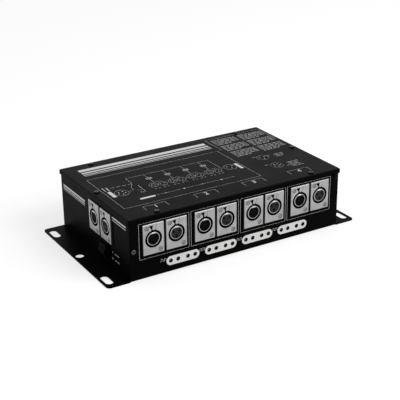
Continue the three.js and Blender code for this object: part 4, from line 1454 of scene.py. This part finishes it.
for x, y in ((71.0, -3.6), (88.6, -7.4), (69.0, -32.4), (91.0, -45.6)):
    bars.append((x, y, x + 4.4, y - 0.4, FINE))
for y, width in ((66.0, 6.4), (58.0, 3.4), (52.6, 1.8), (49.0, 0.8)):
    bars.append((-122.0, y, 47.4, y, width))
# Each amplifier is a small striped box, with the signs of its two sockets below it.
for x in (-63.4, -39.2, -15.4, 8.4):
    bars += [(x, TRUNK_Y, x, 7.0), (x - 0.4, 3.1, x - 0.6, -8.0), (x - 4.6, -8.0, x + 8.4, -8.0)]
    bars += [(x - 3.0, y, x + 3.0, y, 0.3) for y in (4.2, 5.2, 6.2)]
    bars += [(x + dx, -25.8, x + dx + 2.4, -25.8, FINE) for dx in (-9.0, -4.4, 2.0, 6.6)]
    frames.append((6.4, 4.2, x, 5.2, 0.3))
    symbols += [(x - 5.2, -15.6, 5.2, 5), (x + 6.0, -16.6, 5.0, 3)]
print("bars:", len(bars), "socket signs:", len(symbols))

# %% Rows of dashes, and the finished print
DASHES = (7.4, 4.2, 9.0, 5.6, 3.2)
GAP = 1.3
SHORTEST = 2.0
ROW_PITCH = 3.9
SMALL_PITCH = 3.4


def dashes(x, y, length, phase, width=0.7):
    """Bars for a row of dashes, whose lengths come round again after five."""
    used = 0.0
    while used < length - SHORTEST:
        dash = min(DASHES[phase % len(DASHES)], length - used)
        yield (x + used, y, x + used + dash, y, width)
        used += dash + GAP
        phase += 1


for row in range(15):
    y = 70.0 - ROW_PITCH * row - 3.0 * (row // 5)
    length = 34.0 - 11.0 * (row % 5 == 4)
    bars += [*dashes(58.5, y, length, 3 * row), *dashes(97.0, y, length, 3 * row + 2)]
for row in range(3):
    bars += dashes(98.4, -8.0 - SMALL_PITCH * row, 13.0 - 1.5 * row, row, 0.5)
for row in range(5):
    bars += dashes(96.6, -37.7 - SMALL_PITCH * row, 15.0 - 1.5 * (row % 2), row + 2, 0.5)
marks = [mark_bar(*bar) for bar in bars] + [mark_dot(*dot) for dot in dots]
marks += [mark_frame(*box) for box in frames] + [mark_path(*path) for path in paths]
marks += [pin_symbol(*symbol) for symbol in symbols] + [mark_pill(-90.2, -42.0, 19.0, 3.6)]
marks += [bracket(0.99 * middle - 0.3, number) for number, middle in enumerate(PAIR_MIDDLES, 1)]
piece("lid_print", pattern(together(*marks), white_ink), TOP)
print("marks on the lid:", len(marks))

# %% [markdown]
# ### The ends
#
# The switch that terminates the line has a plain stroke and a ring beside it, for on and off, and the
# power switch has the same two signs on its rocker. A line round the two input plugs matches the frames
# on the front, and stops short of the switch. The bars on the left end match those on the lid.

# %% Print the ends and the power rocker
LEFT_BARS = [
    (44.5, 17.9, 44.5, 20.7, 0.4), (49.3, 19.1, 60.0, 19.1, 0.55), (49.3, 11.7, 60.5, 11.7, 0.55),
    (-79.0, 54.6, -21.5, 54.6, 2.6), (-79.0, 51.4, -21.5, 51.4, 1.3),
    (-79.0, 49.2, -21.5, 49.2, 0.5), (46.0, 61.3, 78.0, 61.3, 1.8), (46.0, 58.2, 78.0, 58.2, 0.9),
]
marks = [mark_bar(*bar) for bar in LEFT_BARS] + [mark_ring(43.9, 11.7, 1.1, 0.3, 20)]
piece("left_end_print", pattern(together(*marks), white_ink), LEFT)
(low_x, low_y), (high_x, _), (_, high_y), _ = rectangle(
    FRAME_WIDTH, FRAME_HEIGHT, -19.1, END_SOCKET_Z - 1.0,
)
round_the_plugs = mark_path(
    (POWER_ACROSS - 11.2, low_y), (low_x, low_y), (low_x, high_y), (high_x, high_y),
    (high_x, SWITCH_Z + 12.8),
)
piece("right_end_print", pattern(round_the_plugs, white_ink), RIGHT)

ROOF_SLOPE = math.atan2(5.0, 8.2)
upper_face = tilt() @ at(0, 4.1, 4.7) @ Matrix.Rotation(-ROOF_SLOPE, 4, "X")
lower_face = tilt() @ at(0, -4.1, 4.7) @ Matrix.Rotation(ROOF_SLOPE, 4, "X")
on_sign = moved(mark_bar(0, -1.8, 0, 1.8, 0.7), lower_face)
off_sign = moved(mark_ring(0, 0, 1.7, 0.6, 32), upper_face)
piece(
    "power_rocker_signs", pattern(together(on_sign, off_sign), white_ink), SWITCHES["power"],
    body="power_rocker",
)
print("pieces:", len(pieces_made))
